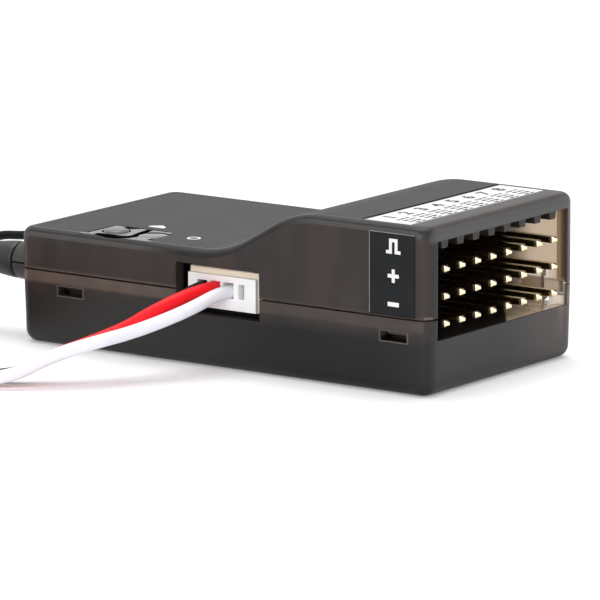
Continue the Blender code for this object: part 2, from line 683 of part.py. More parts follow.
def make_labels():
    """Film on the top, white strip along the bay and the dark side label."""
    half = HALF_WIDTH - RIM_RADIUS - LABEL_MARGIN
    sheet = slab_under_top(FILM_START, STRIP_START - GAP, half, LABEL_THICKNESS, 0)
    film = part("top_film", sheet, FILM_GREY)
    cut(film, "film_notch", block(
        (ISLAND_START - GAP, -HALF_WIDTH, 0), (ISLAND_END + GAP, ISLAND_BACK + GAP, RAISED_HEIGHT)
    ))
    part("channel_strip", block(
        (STRIP_START, -half, RAISED_HEIGHT - LABEL_THICKNESS), (STRIP_END, half, RAISED_HEIGHT)
    ), FILM_WHITE)
    part("side_label", block(
        (SIDE_LABEL_START, -HALF_WIDTH, SIDE_LABEL_LOW),
        (SIDE_LABEL_END, -HALF_WIDTH + LABEL_THICKNESS, SIDE_LABEL_HIGH),
    ), FILM_DARK)


def pin_rows():
    """Each row's name, height and the x of its bend."""
    return [
        (name, LOWEST_ROW + row * PITCH, INSULATOR_BACK - FIRST_BEND - row * PITCH)
        for row, name in enumerate(ROWS)
    ]


def column_places():
    return [(column - (COLUMNS - 1) / 2) * PITCH for column in range(COLUMNS)]


def contact_places():
    return [PORT_X + (n - (CONTACTS - 1) / 2) * CONTACT_PITCH for n in range(CONTACTS)]


def bent_pin(bend, tip, z, width):
    """A square pin that runs out along X from a bend and down through the board."""
    half, tail = width / 2, BOARD_BOTTOM - PIN_TAIL
    outline = [
        (tip, z - half), (tip, z + half), (bend, z + half), (bend - half, z),
        (bend - half, tail), (bend + half, tail), (bend + half, z - half),
    ]
    bm = prism(outline, -half, half)
    round_edges(bm, lambda e: all(v.co.x > tip - GAP / 3 for v in e.verts), PIN_CHAMFER, 1)
    return bm


def make_header():
    """The black insulator and its three rows of bent pins."""
    half, top = COLUMNS * PITCH / 2, LOWEST_ROW + (len(ROWS) - 0.5) * PITCH
    start, end = INSULATOR_BACK - GAP, INSULATOR_FACE + GAP
    body = block((INSULATOR_BACK, -half, SEAT), (INSULATOR_FACE, half, top))
    insulator = part("header_insulator", body, BLACK_PLASTIC)
    cut(insulator, "insulator_bores", blocks([
        ((start, y - PIN_BORE, z - PIN_BORE), (end, y + PIN_BORE, z + PIN_BORE))
        for _, z, _ in pin_rows() for y in column_places()
    ]))
    cut(insulator, "insulator_notches", blocks([
        ((start, y - GAP, top - GAP), (end, y + GAP, top + GAP))
        for y in [place + PITCH / 2 for place in column_places()[:-1]]
    ]))
    for name, z, bend in pin_rows():
        for column, y in enumerate(column_places()):
            bm = bent_pin(bend, HALF_LENGTH - PIN_TIP_SETBACK, z, PIN_WIDTH)
            bmesh.ops.translate(bm, verts=bm.verts, vec=(0, y, 0))
            part(f"{name}_pin_{column + 1}", bm, GOLD)


def make_board():
    """The circuit board with a hole for each pin and each contact of the side socket."""
    low, high = BOARD_BOTTOM - GAP, BOARD_TOP + GAP
    sheet = block((BOARD_START, -HALF_BOARD, BOARD_BOTTOM), (BOARD_END, HALF_BOARD, BOARD_TOP))
    board = part("circuit_board", sheet, BOARD_MASK)
    cut(board, "board_holes", blocks([
        ((bend - PIN_BORE, y - PIN_BORE, low), (bend + PIN_BORE, y + PIN_BORE, high))
        for _, _, bend in pin_rows() for y in column_places()
    ]))
    near, far = CONTACT_ROOT - CONTACT_BORE, CONTACT_ROOT + CONTACT_BORE
    cut(board, "contact_holes", blocks([
        ((x - CONTACT_BORE, near, low), (x + CONTACT_BORE, far, high)) for x in contact_places()
    ]))


def chip(name, size, at, kind, radius):
    """A flat part on the board with its upper edges rounded."""
    (length, width, height), (x, y) = size, at
    bm = block((x - length / 2, y - width / 2, SEAT), (x + length / 2, y + width / 2, SEAT + height))
    round_edges(bm, is_rim, radius, 2)
    return part(name, bm, kind)


def turned(name, profile, centre, kind, closed=False, steps=24):
    """A profile of (radius, z) points turned about an upright axis by a Screw modifier."""
    bm = bmesh.new()
    verts = [bm.verts.new((r, 0, z)) for r, z in profile]
    for a, b in zip(verts, verts[1:]):
        bm.edges.new((a, b))
    if closed:
        bm.edges.new((verts[-1], verts[0]))
    mesh = bpy.data.meshes.new(name)
    bm.to_mesh(mesh)
    bm.free()
    obj = bpy.data.objects.new(name, mesh)
    RECEIVER.objects.link(obj)
    obj.location = centre
    obj.data.materials.append(material(kind, name))
    screw = obj.modifiers.new("turn", "SCREW")
    screw.axis = "Z"
    screw.steps = screw.render_steps = steps
    screw.use_merge_vertices = True
    screw.merge_threshold = 0.00001
    screw.use_smooth_shade = True
    return obj


def make_button():
    """The bind button: cap through the cover, collar inside and the stem over the switch."""
    top = LOW_HEIGHT + BUTTON_PROUD
    collar_top = CEILING - GAP
    collar_low = collar_top - BUTTON_COLLAR_THICKNESS
    stem_low = collar_low - BUTTON_STEM
    collar = BUTTON_RADIUS + GAP + BUTTON_COLLAR
    profile = [
        (0, top), (BUTTON_CROWN_RADIUS, top - BUTTON_CROWN), (BUTTON_RADIUS, top - BUTTON_EDGE),
        (BUTTON_RADIUS, collar_top), (collar, collar_top), (collar, collar_low),
        (SWITCH_PLUNGER_RADIUS, collar_low), (SWITCH_PLUNGER_RADIUS, stem_low), (0, stem_low),
    ]
    pivot = Vector((BUTTON_X, BUTTON_Y, LOW_HEIGHT))
    turned("bind_button", [(r, z - pivot.z) for r, z in profile], pivot, BLACK_PLASTIC)
    return stem_low


def make_switch(stem_low):
    """The push switch on the board under the button."""
    half = SWITCH_SIZE / 2
    bm = block(
        (BUTTON_X - half, BUTTON_Y - half, SEAT), (BUTTON_X + half, BUTTON_Y + half, SEAT + SWITCH_HEIGHT)
    )
    round_edges(bm, is_upright, GAP, 1)
    switch = part("bind_switch", bm, STEEL)
    low, high = SEAT + SWITCH_HEIGHT / 2, stem_low - BUTTON_TRAVEL - GAP / 6
    centre = (BUTTON_X, BUTTON_Y, (low + high) / 2)
    fuse(switch, "plunger", rod(centre, SWITCH_PLUNGER_RADIUS, high - low, sides=16))


def make_lamp():
    """The status lamp and the clear light pipe above it."""
    chip("status_lamp", (LAMP_LENGTH, LAMP_WIDTH, LAMP_HEIGHT), (LAMP_X, LAMP_Y), WHITE, LAMP_HEIGHT / 5)
    top, collar_top = LOW_HEIGHT - LAMP_SUNK, CEILING - GAP
    foot = SEAT + LAMP_HEIGHT + GAP
    collar = LAMP_RADIUS + 2 * GAP
    profile = [
        (0, top), (LAMP_RADIUS - GAP / 3, top), (LAMP_RADIUS, top - GAP / 2), (LAMP_RADIUS, collar_top),
        (collar, collar_top), (collar, collar_top - GAP), (LAMP_RADIUS, collar_top - 2 * GAP),
        (LIGHT_PIPE_FOOT, foot), (0, foot),
    ]
    turned("light_pipe", profile, (LAMP_X, LAMP_Y, 0), CLEAR)


def make_side_port():
    """The cream socket on the board, its contacts and the white plug in it."""
    half, top = SOCKET_WIDTH / 2, SEAT + SOCKET_HEIGHT
    bm = block((PORT_X - half, SOCKET_FACE, SEAT), (PORT_X + half, SOCKET_BACK, top))
    socket = part("side_socket", bm, CREAM)
    inner = half - SOCKET_WALL
    low, high = SEAT + SOCKET_WALL, top - SOCKET_WALL
    cut(socket, "socket_cavity", block(
        (PORT_X - inner, SOCKET_FACE - GAP, low), (PORT_X + inner, SOCKET_BACK - SOCKET_FLOOR, high)
    ))
    cut(socket, "socket_keyways", blocks([
        (
            (PORT_X + x - KEYWAY_WIDTH / 2, SOCKET_FACE - GAP, high - GAP),
            (PORT_X + x + KEYWAY_WIDTH / 2, SOCKET_FACE + SOCKET_DEPTH / 3, top + GAP),
        )
        for x in (-CONTACT_PITCH, CONTACT_PITCH)
    ]))
    bores = [
        (
            (x - CONTACT_BORE, CONTACT_TIP - GAP, CONTACT_HEIGHT - CONTACT_BORE),
            (x + CONTACT_BORE, SOCKET_BACK + GAP, CONTACT_HEIGHT + CONTACT_BORE),
        )
        for x in contact_places()
    ]
    cut(socket, "socket_bores", blocks(bores))
    for number, x in enumerate(contact_places()):
        bm = bent_pin(-CONTACT_ROOT, -CONTACT_TIP, CONTACT_HEIGHT, CONTACT_WIDTH)
        turn = Matrix.Rotation(-math.pi / 2, 4, "Z")
        bmesh.ops.transform(bm, matrix=Matrix.Translation((x, 0, 0)) @ turn, verts=bm.verts)
        part(f"side_contact_{number + 1}", bm, GOLD)
    flange = half - PLUG_MARGIN
    plug = part("side_plug", block(
        (PORT_X - flange, PLUG_FACE, SEAT + PLUG_MARGIN),
        (PORT_X + flange, PLUG_FACE + PLUG_FLANGE, top - PLUG_TOP_MARGIN),
    ), WHITE)
    nose = inner - GAP
    fuse(plug, "plug_nose", block(
        (PORT_X - nose, PLUG_FACE + PLUG_FLANGE / 2, low + GAP),
        (PORT_X + nose, SOCKET_BACK - SOCKET_FLOOR - GAP, high - GAP),
    ))
    cut(plug, "plug_bores", blocks(bores))
    wide, tall = PLUG_CAVITY_WIDTH / 2, PLUG_CAVITY_HEIGHT / 2
    cut(plug, "plug_cavities", blocks([
        (
            (x - wide, PLUG_FACE - GAP, CONTACT_HEIGHT - tall),
            (x + wide, PLUG_FACE + PLUG_CAVITY_DEPTH, CONTACT_HEIGHT + tall),
        )
        for x in contact_places()
    ]))


def smooth_route(points, step):
    """Evenly spaced points on a smooth curve through the route's points, in metres."""
    p = np.array(points) * MM
    along = np.concatenate([[0], np.cumsum(np.linalg.norm(np.diff(p, axis=0), axis=1))])
    slope = np.gradient(p, along, axis=0)
    at = np.linspace(0, along[-1], round(along[-1] / step) + 1)
    i = np.clip(np.searchsorted(along, at, side="right") - 1, 0, len(p) - 2)
    width = (along[i + 1] - along[i])[:, None]
    t = (at - along[i])[:, None] / width
    return (
        (2 * t**3 - 3 * t**2 + 1) * p[i] + (t**3 - 2 * t**2 + t) * width * slope[i]
        + (3 * t**2 - 2 * t**3) * p[i + 1] + (t**3 - t**2) * width * slope[i + 1]
    )


def tube(name, points, diameter, kind):
    """A round wire along a polyline."""
    curve = bpy.data.curves.new(name, "CURVE")
    curve.dimensions = "3D"
    curve.bevel_depth = diameter / 2
    curve.bevel_resolution = 2
    curve.use_fill_caps = True
    spline = curve.splines.new("POLY")
    spline.points.add(len(points) - 1)
    for point, place in zip(spline.points, points):
        point.co = (*place, 1)
    obj = bpy.data.objects.new(name, curve)
    RECEIVER.objects.link(obj)
    curve.materials.append(material(kind, name))
    return obj


def up_to_ring(points, centre, radius):
    """The stretch of a wire from its start to the point where it meets a coil."""
    away = np.hypot(points[:, 0] - centre[0], points[:, 1] - centre[1])
    last = int(np.argmax(away <= radius)) - 1
    share = (away[last] - radius) / (away[last] - away[last + 1])
    meeting = points[last] + share * (points[last + 1] - points[last])
    return [*points[:last + 1], meeting]


def ring(name, centre, radius, wide, high, kind):
    """The outer shape of a coil: a turned ring that lies on the surface."""
    edge = wide / 5
    inner, outer = radius - wide / 2, radius + wide / 2
    profile = [
        (outer - edge, high), (outer, high - edge), (outer, edge), (outer - edge, 0),
        (inner + edge, 0), (inner, edge), (inner, high - edge), (inner + edge, high),
    ]
    return turned(name, profile, (*centre, 0), kind, closed=True, steps=32)


def make_lead():
    """The three wires from the plug, their coil, and the connector on the far end."""
    centre = (LEAD_COIL_X, LEAD_COIL_Y)
    wide = 2 * WIRE_SPACING + WIRE_DIAMETER + GAP
    clear = LEAD_COIL_RADIUS + wide / 2 + WIRE_DIAMETER / 2 + GAP
    step = 2.4 * WIRE_DIAMETER
    for colour, rgb in WIRE_COLOURS.items():
        kind = (f"{colour}_silicone", rgb, 0.45, 0.0)
        route = up_to_ring(smooth_route(WIRE_ROUTES[colour], step), centre, clear)
        tube(f"lead_wire_{colour}", route, WIRE_DIAMETER, kind)
        tail = up_to_ring(smooth_route(TAIL_ROUTES[colour], WIRE_DIAMETER), centre, clear)
        tube(f"lead_tail_{colour}", tail, WIRE_DIAMETER, kind)
    ring("lead_coil", centre, LEAD_COIL_RADIUS, wide, LEAD_COIL_TURNS * BUNDLE_DIAMETER, RUBBER)
    half, y = CONNECTOR_WIDTH / 2, TAIL_ROUTES["red"][0][1] * MM
    end = CONNECTOR_FACE - CONNECTOR_LENGTH
    bm = block((end, y - half, 0), (CONNECTOR_FACE, y + half, CONNECTOR_THICKNESS))
    round_edges(bm, lambda e: abs(e.verts[0].co.x - e.verts[1].co.x) > CONNECTOR_LENGTH / 2, GAP, 2)
    connector = part("lead_connector", bm, BLACK_PLASTIC)
    middle, slot = CONNECTOR_THICKNESS / 2, CONNECTOR_SLOT / 2
    depth = end + CONNECTOR_LENGTH / 2
    cut(connector, "connector_sockets", blocks([
        ((end - GAP, place - slot, middle - slot), (depth, place + slot, middle + slot))
        for place in (y - PITCH, y, y + PITCH)
    ]))


def make_boot(side, label):
    """The tapered rubber boot where an aerial leaves its neck."""
    start = -HALF_LENGTH - NECK_LENGTH - GAP
    bore = COAX_DIAMETER / 2 + GAP
    lengths = np.linspace(0, 1, 5)
    radii = BOOT_TIP_RADIUS + (BOOT_RADIUS - BOOT_TIP_RADIUS) * (1 - lengths) ** BOOT_CURVE
    outer = [(r, -BOOT_LENGTH * s) for r, s in zip(radii, lengths)]
    profile = [(BOOT_RADIUS - GAP, GAP), *outer, (bore, -BOOT_LENGTH), (bore, GAP)]
    place = (start - GAP, side * NECK_Y, SEAM_HEIGHT)
    boot = turned(f"aerial_boot_{label}", profile, place, RUBBER, closed=True)
    boot.rotation_euler = (0, math.pi / 2, 0)


def make_aerials():
    """Board plug, coaxial wire, boot and coil for each of the two aerials."""
    for side, label in ((-1, "near"), (1, "far")):
        low, high = SEAT, SEAT + COAX_PLUG_HEIGHT
        edge = COAX_PLUG_RADIUS * 0.8
        turned(
            f"aerial_plug_{label}",
            [(0, high), (edge, high), (COAX_PLUG_RADIUS, high - GAP), (COAX_PLUG_RADIUS, low), (0, low)],
            (COAX_PLUG_X, side * COAX_PLUG_Y, 0), STEEL, steps=16,
        )
        make_boot(side, label)
        centre = AERIAL_COILS[label]
        wide = COAX_DIAMETER + 2 * GAP
        clear = AERIAL_COIL_RADIUS + wide / 2 + COAX_DIAMETER / 2 + GAP
        route = up_to_ring(smooth_route(AERIAL_ROUTES[label], 2 * COAX_DIAMETER), centre, clear)
        tube(f"aerial_wire_{label}", route, COAX_DIAMETER, RUBBER)
        high = (AERIAL_COIL_TURNS + 1) * COAX_DIAMETER
        ring(f"aerial_coil_{label}", centre, AERIAL_COIL_RADIUS, wide, high, RUBBER)


def main():
    make_lower_case()
    make_upper_case()
    make_labels()
    make_board()
    make_header()
    make_side_port()
    make_switch(make_button())
    make_lamp()
    chip("radio_shield", (SHIELD_LENGTH, SHIELD_WIDTH, SHIELD_HEIGHT), SHIELD_AT, STEEL, GAP)
    chip("processor", (CHIP_SIDE, CHIP_SIDE, CHIP_HEIGHT), CHIP_AT, BLACK_PLASTIC, GAP / 3)
    chip("crystal", (CRYSTAL_LENGTH, CRYSTAL_WIDTH, CRYSTAL_HEIGHT), CRYSTAL_AT, STEEL, GAP / 3)
    make_aerials()
    make_lead()


main()
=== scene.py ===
"""Looks of an eight channel radio control receiver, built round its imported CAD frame.

Lengths are in metres in the CAD's frame: the pins point to +X, the side socket faces -Y and
Z is up. Sizes written in millimetres are turned to metres by MM.
"""

import math

import bmesh
import bpy
import numpy as np
from bpy.props import FloatProperty, FloatVectorProperty, PointerProperty
from mathutils import Matrix, Vector


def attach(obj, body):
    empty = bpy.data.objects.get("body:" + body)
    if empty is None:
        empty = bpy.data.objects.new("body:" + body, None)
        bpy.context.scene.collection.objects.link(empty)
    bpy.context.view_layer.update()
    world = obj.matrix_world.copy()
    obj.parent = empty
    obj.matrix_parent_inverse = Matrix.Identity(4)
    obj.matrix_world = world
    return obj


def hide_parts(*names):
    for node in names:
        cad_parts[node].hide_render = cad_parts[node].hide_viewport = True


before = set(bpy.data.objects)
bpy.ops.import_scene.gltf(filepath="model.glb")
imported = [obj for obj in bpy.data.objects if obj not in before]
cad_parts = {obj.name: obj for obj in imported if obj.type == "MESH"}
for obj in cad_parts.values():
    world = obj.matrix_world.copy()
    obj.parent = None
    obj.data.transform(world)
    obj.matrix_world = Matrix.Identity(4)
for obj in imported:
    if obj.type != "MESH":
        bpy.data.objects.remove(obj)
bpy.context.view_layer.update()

bl_info = {
    "name": "RC receiver",
    "version": (1, 0, 0),
    "blender": (4, 5, 0),
    "location": "View3D > Sidebar > Receiver",
    "description": "Builds the visible pieces of an eight channel radio control receiver",
    "category": "Add Mesh",
}

MM = 0.001
# A distance in millimetres that is past every face of the case, for bands with an open end
OPEN = 30

# Case, in millimetres
HALF_LENGTH, HALF_WIDTH = 23.73, 12.3
LOW_TOP, HIGH_TOP = 11.14, 15.73
SEAM, SEAM_GAP = 7.1, 0.18
WALL = 1.2
CORNER, RIM, FOOT = 1.6, 0.9, 1.2
DRAFT = 0.18
SLOPE_END, SLOPE_RADIUS, SLOPE_ANGLE = 11.35, 11.0, math.radians(30)
SLOPE_RUN = 13.5
LIP_THICKNESS, LIP_HEIGHT = 0.45, 1.15
BAY_START, BAY_HALF, BAY_LOW, BAY_HIGH = 16.4, 10.7, 5.15, 14.36
PORT_X, PORT_HALF, PORT_LOW, PORT_HIGH = -0.05, 4.825, 5.06, 9.75
PLUG_MIDDLE = 7.475
HOOK_X, HOOK_WIDTH, WINDOW_LOW, WINDOW_HIGH = (-17.45, 19.85), 2.4, 4.95, 5.85
NECK_Y, NECK_RADIUS, NECK_BORE = 8.7, 1.83, 0.75
NECK_END = -HALF_LENGTH - 2.05
POSTS = ((-19.2, 3.4), (5.8, 8.1))
POST_RADIUS = 1.2
BOARD_LOW, BOARD_TOP = 4.25, 5.25

# Pins and their bay
PITCH, COLUMNS = 2.54, 8
# Height of each row, and x of its bend
PIN_ROWS = {"ground": (6.51, 13.08), "power": (9.05, 10.54), "signal": (11.59, 8.0)}
PIN_TIP, PIN_WIDTH, PIN_END = 23.68, 0.64, 3.55
TIP_START = 23.1

# Labels, button and lamp: the film's ends and half width, the strip's ends, the side label's ends
# and heights, and the ends and far edge of the bare island
FILM = (-22.4, 15.45, 11.0)
STRIP = (15.75, 21.06)
SIDE_LABEL = (17.25, 22.27, 7.42, 15.0)
ISLAND = (-16.4, -8.95, -6.4)
BUTTON, LAMP = (-14.35, -9.0), (-10.1, -8.75)
LABEL_THICK, STRIP_TOP = 0.2, HIGH_TOP - 0.02
# Dashes at each number of the strip: x, how far aside, length along x and width
DASHES = [
    (18.6, -0.75, 0.3, 0.3), (18.6, -0.1, 0.3, 0.55), (18.6, 0.65, 0.3, 0.35),
    (19.3, -0.5, 0.3, 0.6), (19.3, 0.3, 0.3, 0.4), (19.3, 0.85, 0.3, 0.2),
    (20.0, -0.8, 0.3, 0.25), (20.0, -0.25, 0.3, 0.4), (20.0, 0.5, 0.3, 0.6),
    (20.6, -0.4, 0.25, 0.7), (20.6, 0.5, 0.25, 0.4),
]

# Cords: centre lines of the lead's free wires
WIRE_ROUTES = {
    "black": [
        (-2.3, -11.9, 7.45), (-2.33, -13.0, 7.32), (-2.5, -14.8, 6.82), (-2.95, -16.6, 5.95),
        (-3.65, -18.1, 5.1), (-4.8, -19.75, 4.45), (-6.42, -22.3, 3.68), (-9.42, -25.6, 2.3),
        (-12.1, -27.9, 0.85), (-15.0, -29.4, 0.64), (-19.8, -29.9, 0.66), (-25.8, -29.3, 0.65),
        (-30.0, -28.4, 0.65), (-33.0, -28.1, 0.65),
    ],
    "red": [
        (-0.8, -11.9, 7.65), (-0.85, -13.0, 7.62), (-1.2, -14.9, 7.42), (-1.75, -17.3, 6.92),
        (-2.7, -19.2, 6.13), (-3.89, -20.8, 5.12), (-5.47, -23.3, 4.12), (-8.57, -26.6, 2.62),
        (-11.2, -28.95, 1.08), (-14.0, -30.75, 0.66), (-19.0, -31.5, 0.66), (-25.4, -30.9, 0.65),
        (-30.0, -29.8, 0.65), (-33.0, -29.5, 0.65),
    ],
    "white": [
        (0.7, -11.9, 7.35), (0.62, -13.1, 7.3), (0.4, -15.4, 6.86), (-0.05, -17.2, 6.36),
        (-0.9, -18.6, 5.82), (-3.03, -22.0, 4.73), (-4.38, -24.8, 4.24), (-7.55, -28.0, 2.95),
        (-10.2, -30.2, 1.42), (-13.2, -32.0, 0.82), (-18.2, -33.1, 0.66), (-25.0, -32.4, 0.65),
        (-30.0, -31.2, 0.65), (-33.0, -30.9, 0.65),
    ],
}
# Tail of the lead: x, how far the outer wires lie from the middle one, and height
TAIL_ROUTE = [
    (-46.5, 2.54, 1.3), (-45.0, 2.5, 1.36), (-42.4, 2.1, 1.85), (-39.6, 1.6, 2.75),
    (-36.0, 1.4, 3.4),
]
# Aerials: x, distance from the middle plane and height, of both and then of each
AERIAL_START = [
    (-18.6, 6.9, 6.2), (-19.6, 7.6, 6.45), (-21.0, 8.4, 6.95), (-22.4, 8.7, 7.22),
    (-24.0, 8.7, 7.25), (-28.0, 8.7, 7.25),
]
AERIAL_ROUTES = {
    "near": [
        (-32.6, 8.7, 7.22), (-34.4, 8.7, 6.9), (-36.2, 8.7, 5.6), (-37.8, 8.7, 3.6),
        (-39.4, 8.7, 1.75), (-41.0, 8.7, 0.72), (-42.5, 8.7, 0.5), (-44.0, 8.7, 0.48),
    ],
    "far": [
        (-32.6, 8.7, 7.0), (-35.5, 8.7, 6.12), (-39.6, 8.7, 5.43), (-42.6, 8.7, 5.06),
        (-45.6, 8.55, 3.7), (-48.4, 8.2, 2.0), (-50.8, 7.8, 0.85), (-53.0, 7.5, 0.5),
        (-55.0, 7.4, 0.48),
    ],
}
WIRE_DIAMETER, COAX_DIAMETER = 1.25, 0.9
# Place of each wire, counted outwards from the middle one, and its angle in the bundle
WIRES = {"black": (1, 210), "red": (0, 90), "white": (-1, -30)}
COIL_STEPS = 96
# Centre x and y and radius of each coil, then the lead's turns and the way each aerial goes round
LEAD_COIL = (-33.0, -22.0, 7.5, 2)
AERIAL_COILS = {"near": (-44.0, -3.5, 5.2, -1), "far": (-55.0, 2.2, 5.2, 1)}
# Far end, near face, middle y, half width and height of the lead's connector
CONNECTOR = (-60.8, -46.8, -29.5, 3.85, 2.6)

# Camera: angles in degrees, distance and target in metres, focal length in pixels
CAMERA_TURN, CAMERA_LIFT, CAMERA_ROLL = 35.83, 11.03, -0.18
CAMERA_DISTANCE, CAMERA_TARGET = 0.5732, (0.00055, 0, 0.00472)
FOCAL_PIXELS, PICTURE_PIXELS, SENSOR = 6061.8, 600, 36.0


def linear(code):
    """An sRGB hex colour as linear red, green and blue."""
    parts = np.array([int(code[i:i + 2], 16) / 255 for i in (1, 3, 5)])
    return tuple(np.where(parts <= 0.04045, parts / 12.92, ((parts + 0.055) / 1.055) ** 2.4))


# Meshes from arrays

def object_of(name, mesh):
    """A new object in the scene that shows a mesh or a curve."""
    made = bpy.data.objects.new(name, mesh)
    bpy.context.scene.collection.objects.link(made)
    return made


def closed(mesh):
    """Merges doubled points and turns the faces outwards."""
    bm = bmesh.new()
    bm.from_mesh(mesh)
    bmesh.ops.remove_doubles(bm, verts=bm.verts, dist=1e-7)
    bmesh.ops.dissolve_degenerate(bm, edges=bm.edges, dist=1e-8)
    bmesh.ops.recalc_face_normals(bm, faces=bm.faces)
    bm.to_mesh(mesh)
    bm.free()
    return mesh


def skin(name, rows, loop=False, caps=True):
    """Joins rows of points, each a closed ring, by quads: face (i, j) spans rows i, i + 1 and
    points j, j + 1. The first and last rings get flat caps, or meet each other in a loop."""
    rows = np.asarray(rows) * MM
    count, around = rows.shape[:2]
    i, j = np.meshgrid(np.arange(count if loop else count - 1), np.arange(around), indexing="ij")
    k, m = (i + 1) % count, (j + 1) % around
    faces = np.stack([i * around + j, i * around + m, k * around + m, k * around + j], -1)
    faces = faces.reshape(-1, 4).tolist()
    if caps and not loop:
        faces += [list(range(around))[::-1], list(range((count - 1) * around, count * around))]
    mesh = bpy.data.meshes.new(name)
    mesh.from_pydata(rows.reshape(-1, 3).tolist(), [], faces)
    return object_of(name, closed(mesh))


def blocks(name, corners):
    """Boxes from their lowest and highest corners: corner (a, b, c) of a box takes x, y and z
    from the low or the high corner as a, b and c say."""
    ends = np.array(corners, float) * MM
    pick = np.array([
        (0, 0, 0), (1, 0, 0), (1, 1, 0), (0, 1, 0), (0, 0, 1), (1, 0, 1), (1, 1, 1), (0, 1, 1)
    ])
    points = np.where(pick[None] == 1, ends[:, None, 1], ends[:, None, 0])
    sides = np.array([
        (3, 2, 1, 0), (4, 5, 6, 7), (0, 1, 5, 4), (1, 2, 6, 5), (2, 3, 7, 6), (3, 0, 4, 7)
    ])
    faces = (np.arange(len(ends))[:, None, None] * 8 + sides[None]).reshape(-1, 4)
    mesh = bpy.data.meshes.new(name)
    mesh.from_pydata(points.reshape(-1, 3).tolist(), [], faces.tolist())
    return object_of(name, closed(mesh))


def circle(count, radius=1.0):
    """Points (radius cos t, radius sin t) for evenly spaced angles t."""
    turn = np.linspace(0, 2 * np.pi, count, endpoint=False)
    return radius * np.stack([np.cos(turn), np.sin(turn)], -1)


def rod(name, start, end, radius, sides=40):
    """A round bar along X or Z: a circle at each end."""
    start, end = np.array(start, float), np.array(end, float)
    along = (end - start) / np.linalg.norm(end - start)
    side = np.cross(along, (0, 1, 0))
    ring = circle(sides, radius)
    offset = ring[:, :1] * side + ring[:, 1:] * np.array((0, 1, 0))
    return skin(name, np.stack([start + offset, end + offset]))


def turned(name, profile, centre, axis="Z", sides=64):
    """A profile of (radius, height) points turned about an axis through a centre: point (i, j) is
    centre + radius_i (cos t_j, sin t_j) across the axis + height_i along it."""
    profile = np.array(profile, float)
    ring = circle(sides)
    across = {"Z": ((1, 0, 0), (0, 1, 0), (0, 0, 1)), "X": ((0, 1, 0), (0, 0, 1), (1, 0, 0))}[axis]
    a, b, c = (np.array(v, float) for v in across)
    spun = ring[:, :1] * a + ring[:, 1:] * b
    rows = np.array(centre) + profile[:, :1, None] * spun[None] + profile[:, 1:, None] * c
    return skin(name, rows)


def tube(name, path, radius, sides=20):
    """A round section carried along a path: point (i, j) is path_i + radius_i (cos t_j side_i +
    sin t_j up_i), where side_i is level and up_i is square to it and to the path."""
    path = np.asarray(path, float)
    along = np.gradient(path, axis=0)
    along /= np.linalg.norm(along, axis=1)[:, None]
    side = np.cross(along, (0, 0, 1))
    side /= np.linalg.norm(side, axis=1)[:, None]
    up = np.cross(side, along)
    ring = circle(sides)
    radius = np.broadcast_to(radius, len(path))[:, None, None]
    spokes = ring[None, :, :1] * side[:, None] + ring[None, :, 1:] * up[:, None]
    rows = path[:, None] + radius * spokes
    return skin(name, rows)


def smooth_route(points, step):
    """Evenly spaced points on a cubic through the route's points, whose slope at each point is
    that of its neighbours."""
    p = np.array(points, float)
    along = np.concatenate([[0], np.cumsum(np.linalg.norm(np.diff(p, axis=0), axis=1))])
    slope = np.gradient(p, along, axis=0)
    at = np.linspace(0, along[-1], round(along[-1] / step) + 1)
    i = np.clip(np.searchsorted(along, at, side="right") - 1, 0, len(p) - 2)
    width = (along[i + 1] - along[i])[:, None]
    t = (at - along[i])[:, None] / width
    return (
        (2 * t**3 - 3 * t**2 + 1) * p[i] + (t**3 - 2 * t**2 + t) * width * slope[i]
        + (3 * t**2 - 2 * t**3) * p[i + 1] + (t**3 - t**2) * width * slope[i + 1]
    )


def shaped(body, steps, angle=30):
    """Adds and cuts solids in order, then shades smooth all edges flatter than an angle."""
    for operation, operand in steps:
        modifier = body.modifiers.new(operand.name, "BOOLEAN")
        modifier.object, modifier.operation, modifier.solver = operand, operation, "EXACT"
    graph = bpy.context.evaluated_depsgraph_get()
    mesh = bpy.data.meshes.new_from_object(body.evaluated_get(graph))
    body.modifiers.clear()
    body.data = mesh
    for _, operand in steps:
        bpy.data.objects.remove(operand)
    smooth(body, angle)
    return body


def smooth(obj, angle=30):
    """Shades smooth all edges flatter than an angle."""
    obj.data.shade_smooth()
    obj.data.set_sharp_from_angle(angle=math.radians(angle))
    return obj


def rounded_edges(obj, width, segments=2):
    """A small bevel on the moulded edges."""
    bevel = obj.modifiers.new("moulded edge", "BEVEL")
    bevel.width, bevel.segments, bevel.limit_method = width * MM, segments, "ANGLE"
    bevel.angle_limit = math.radians(40)
    bevel.use_clamp_overlap, bevel.harden_normals = True, False
    return obj


def piece(obj, finish, replaces=(), body="case"):
    """Gives a piece its material, its body and the CAD nodes that it stands for."""
    obj.data.materials.clear()
    obj.data.materials.append(finish)
    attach(obj, body)
    if replaces:
        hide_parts(*replaces)
    return obj


# Materials

def feed(tree, fed, inputs):
    """Links or sets each input of a node, given by name or number."""
    for name, value in inputs.items():
        if isinstance(value, bpy.types.NodeSocket):
            tree.links.new(value, fed.inputs[name])
        else:
            fed.inputs[name].default_value = value


def node(tree, kind, inputs=None, **settings):
    """Adds a node with its settings and inputs."""
    made = tree.nodes.new(kind)
    for name, value in settings.items():
        setattr(made, name, value)
    feed(tree, made, inputs or {})
    return made


def ramp(tree, factor, stops):
    """A colour ramp from (place, hex colour) stops."""
    made = node(tree, "ShaderNodeValToRGB", {"Fac": factor})
    ends = made.color_ramp.elements
    while len(ends) < len(stops):
        ends.new(0.5)
    for end, (place, code) in zip(ends, stops):
        end.position, end.color = place, (*linear(code), 1)
    return made.outputs["Color"]


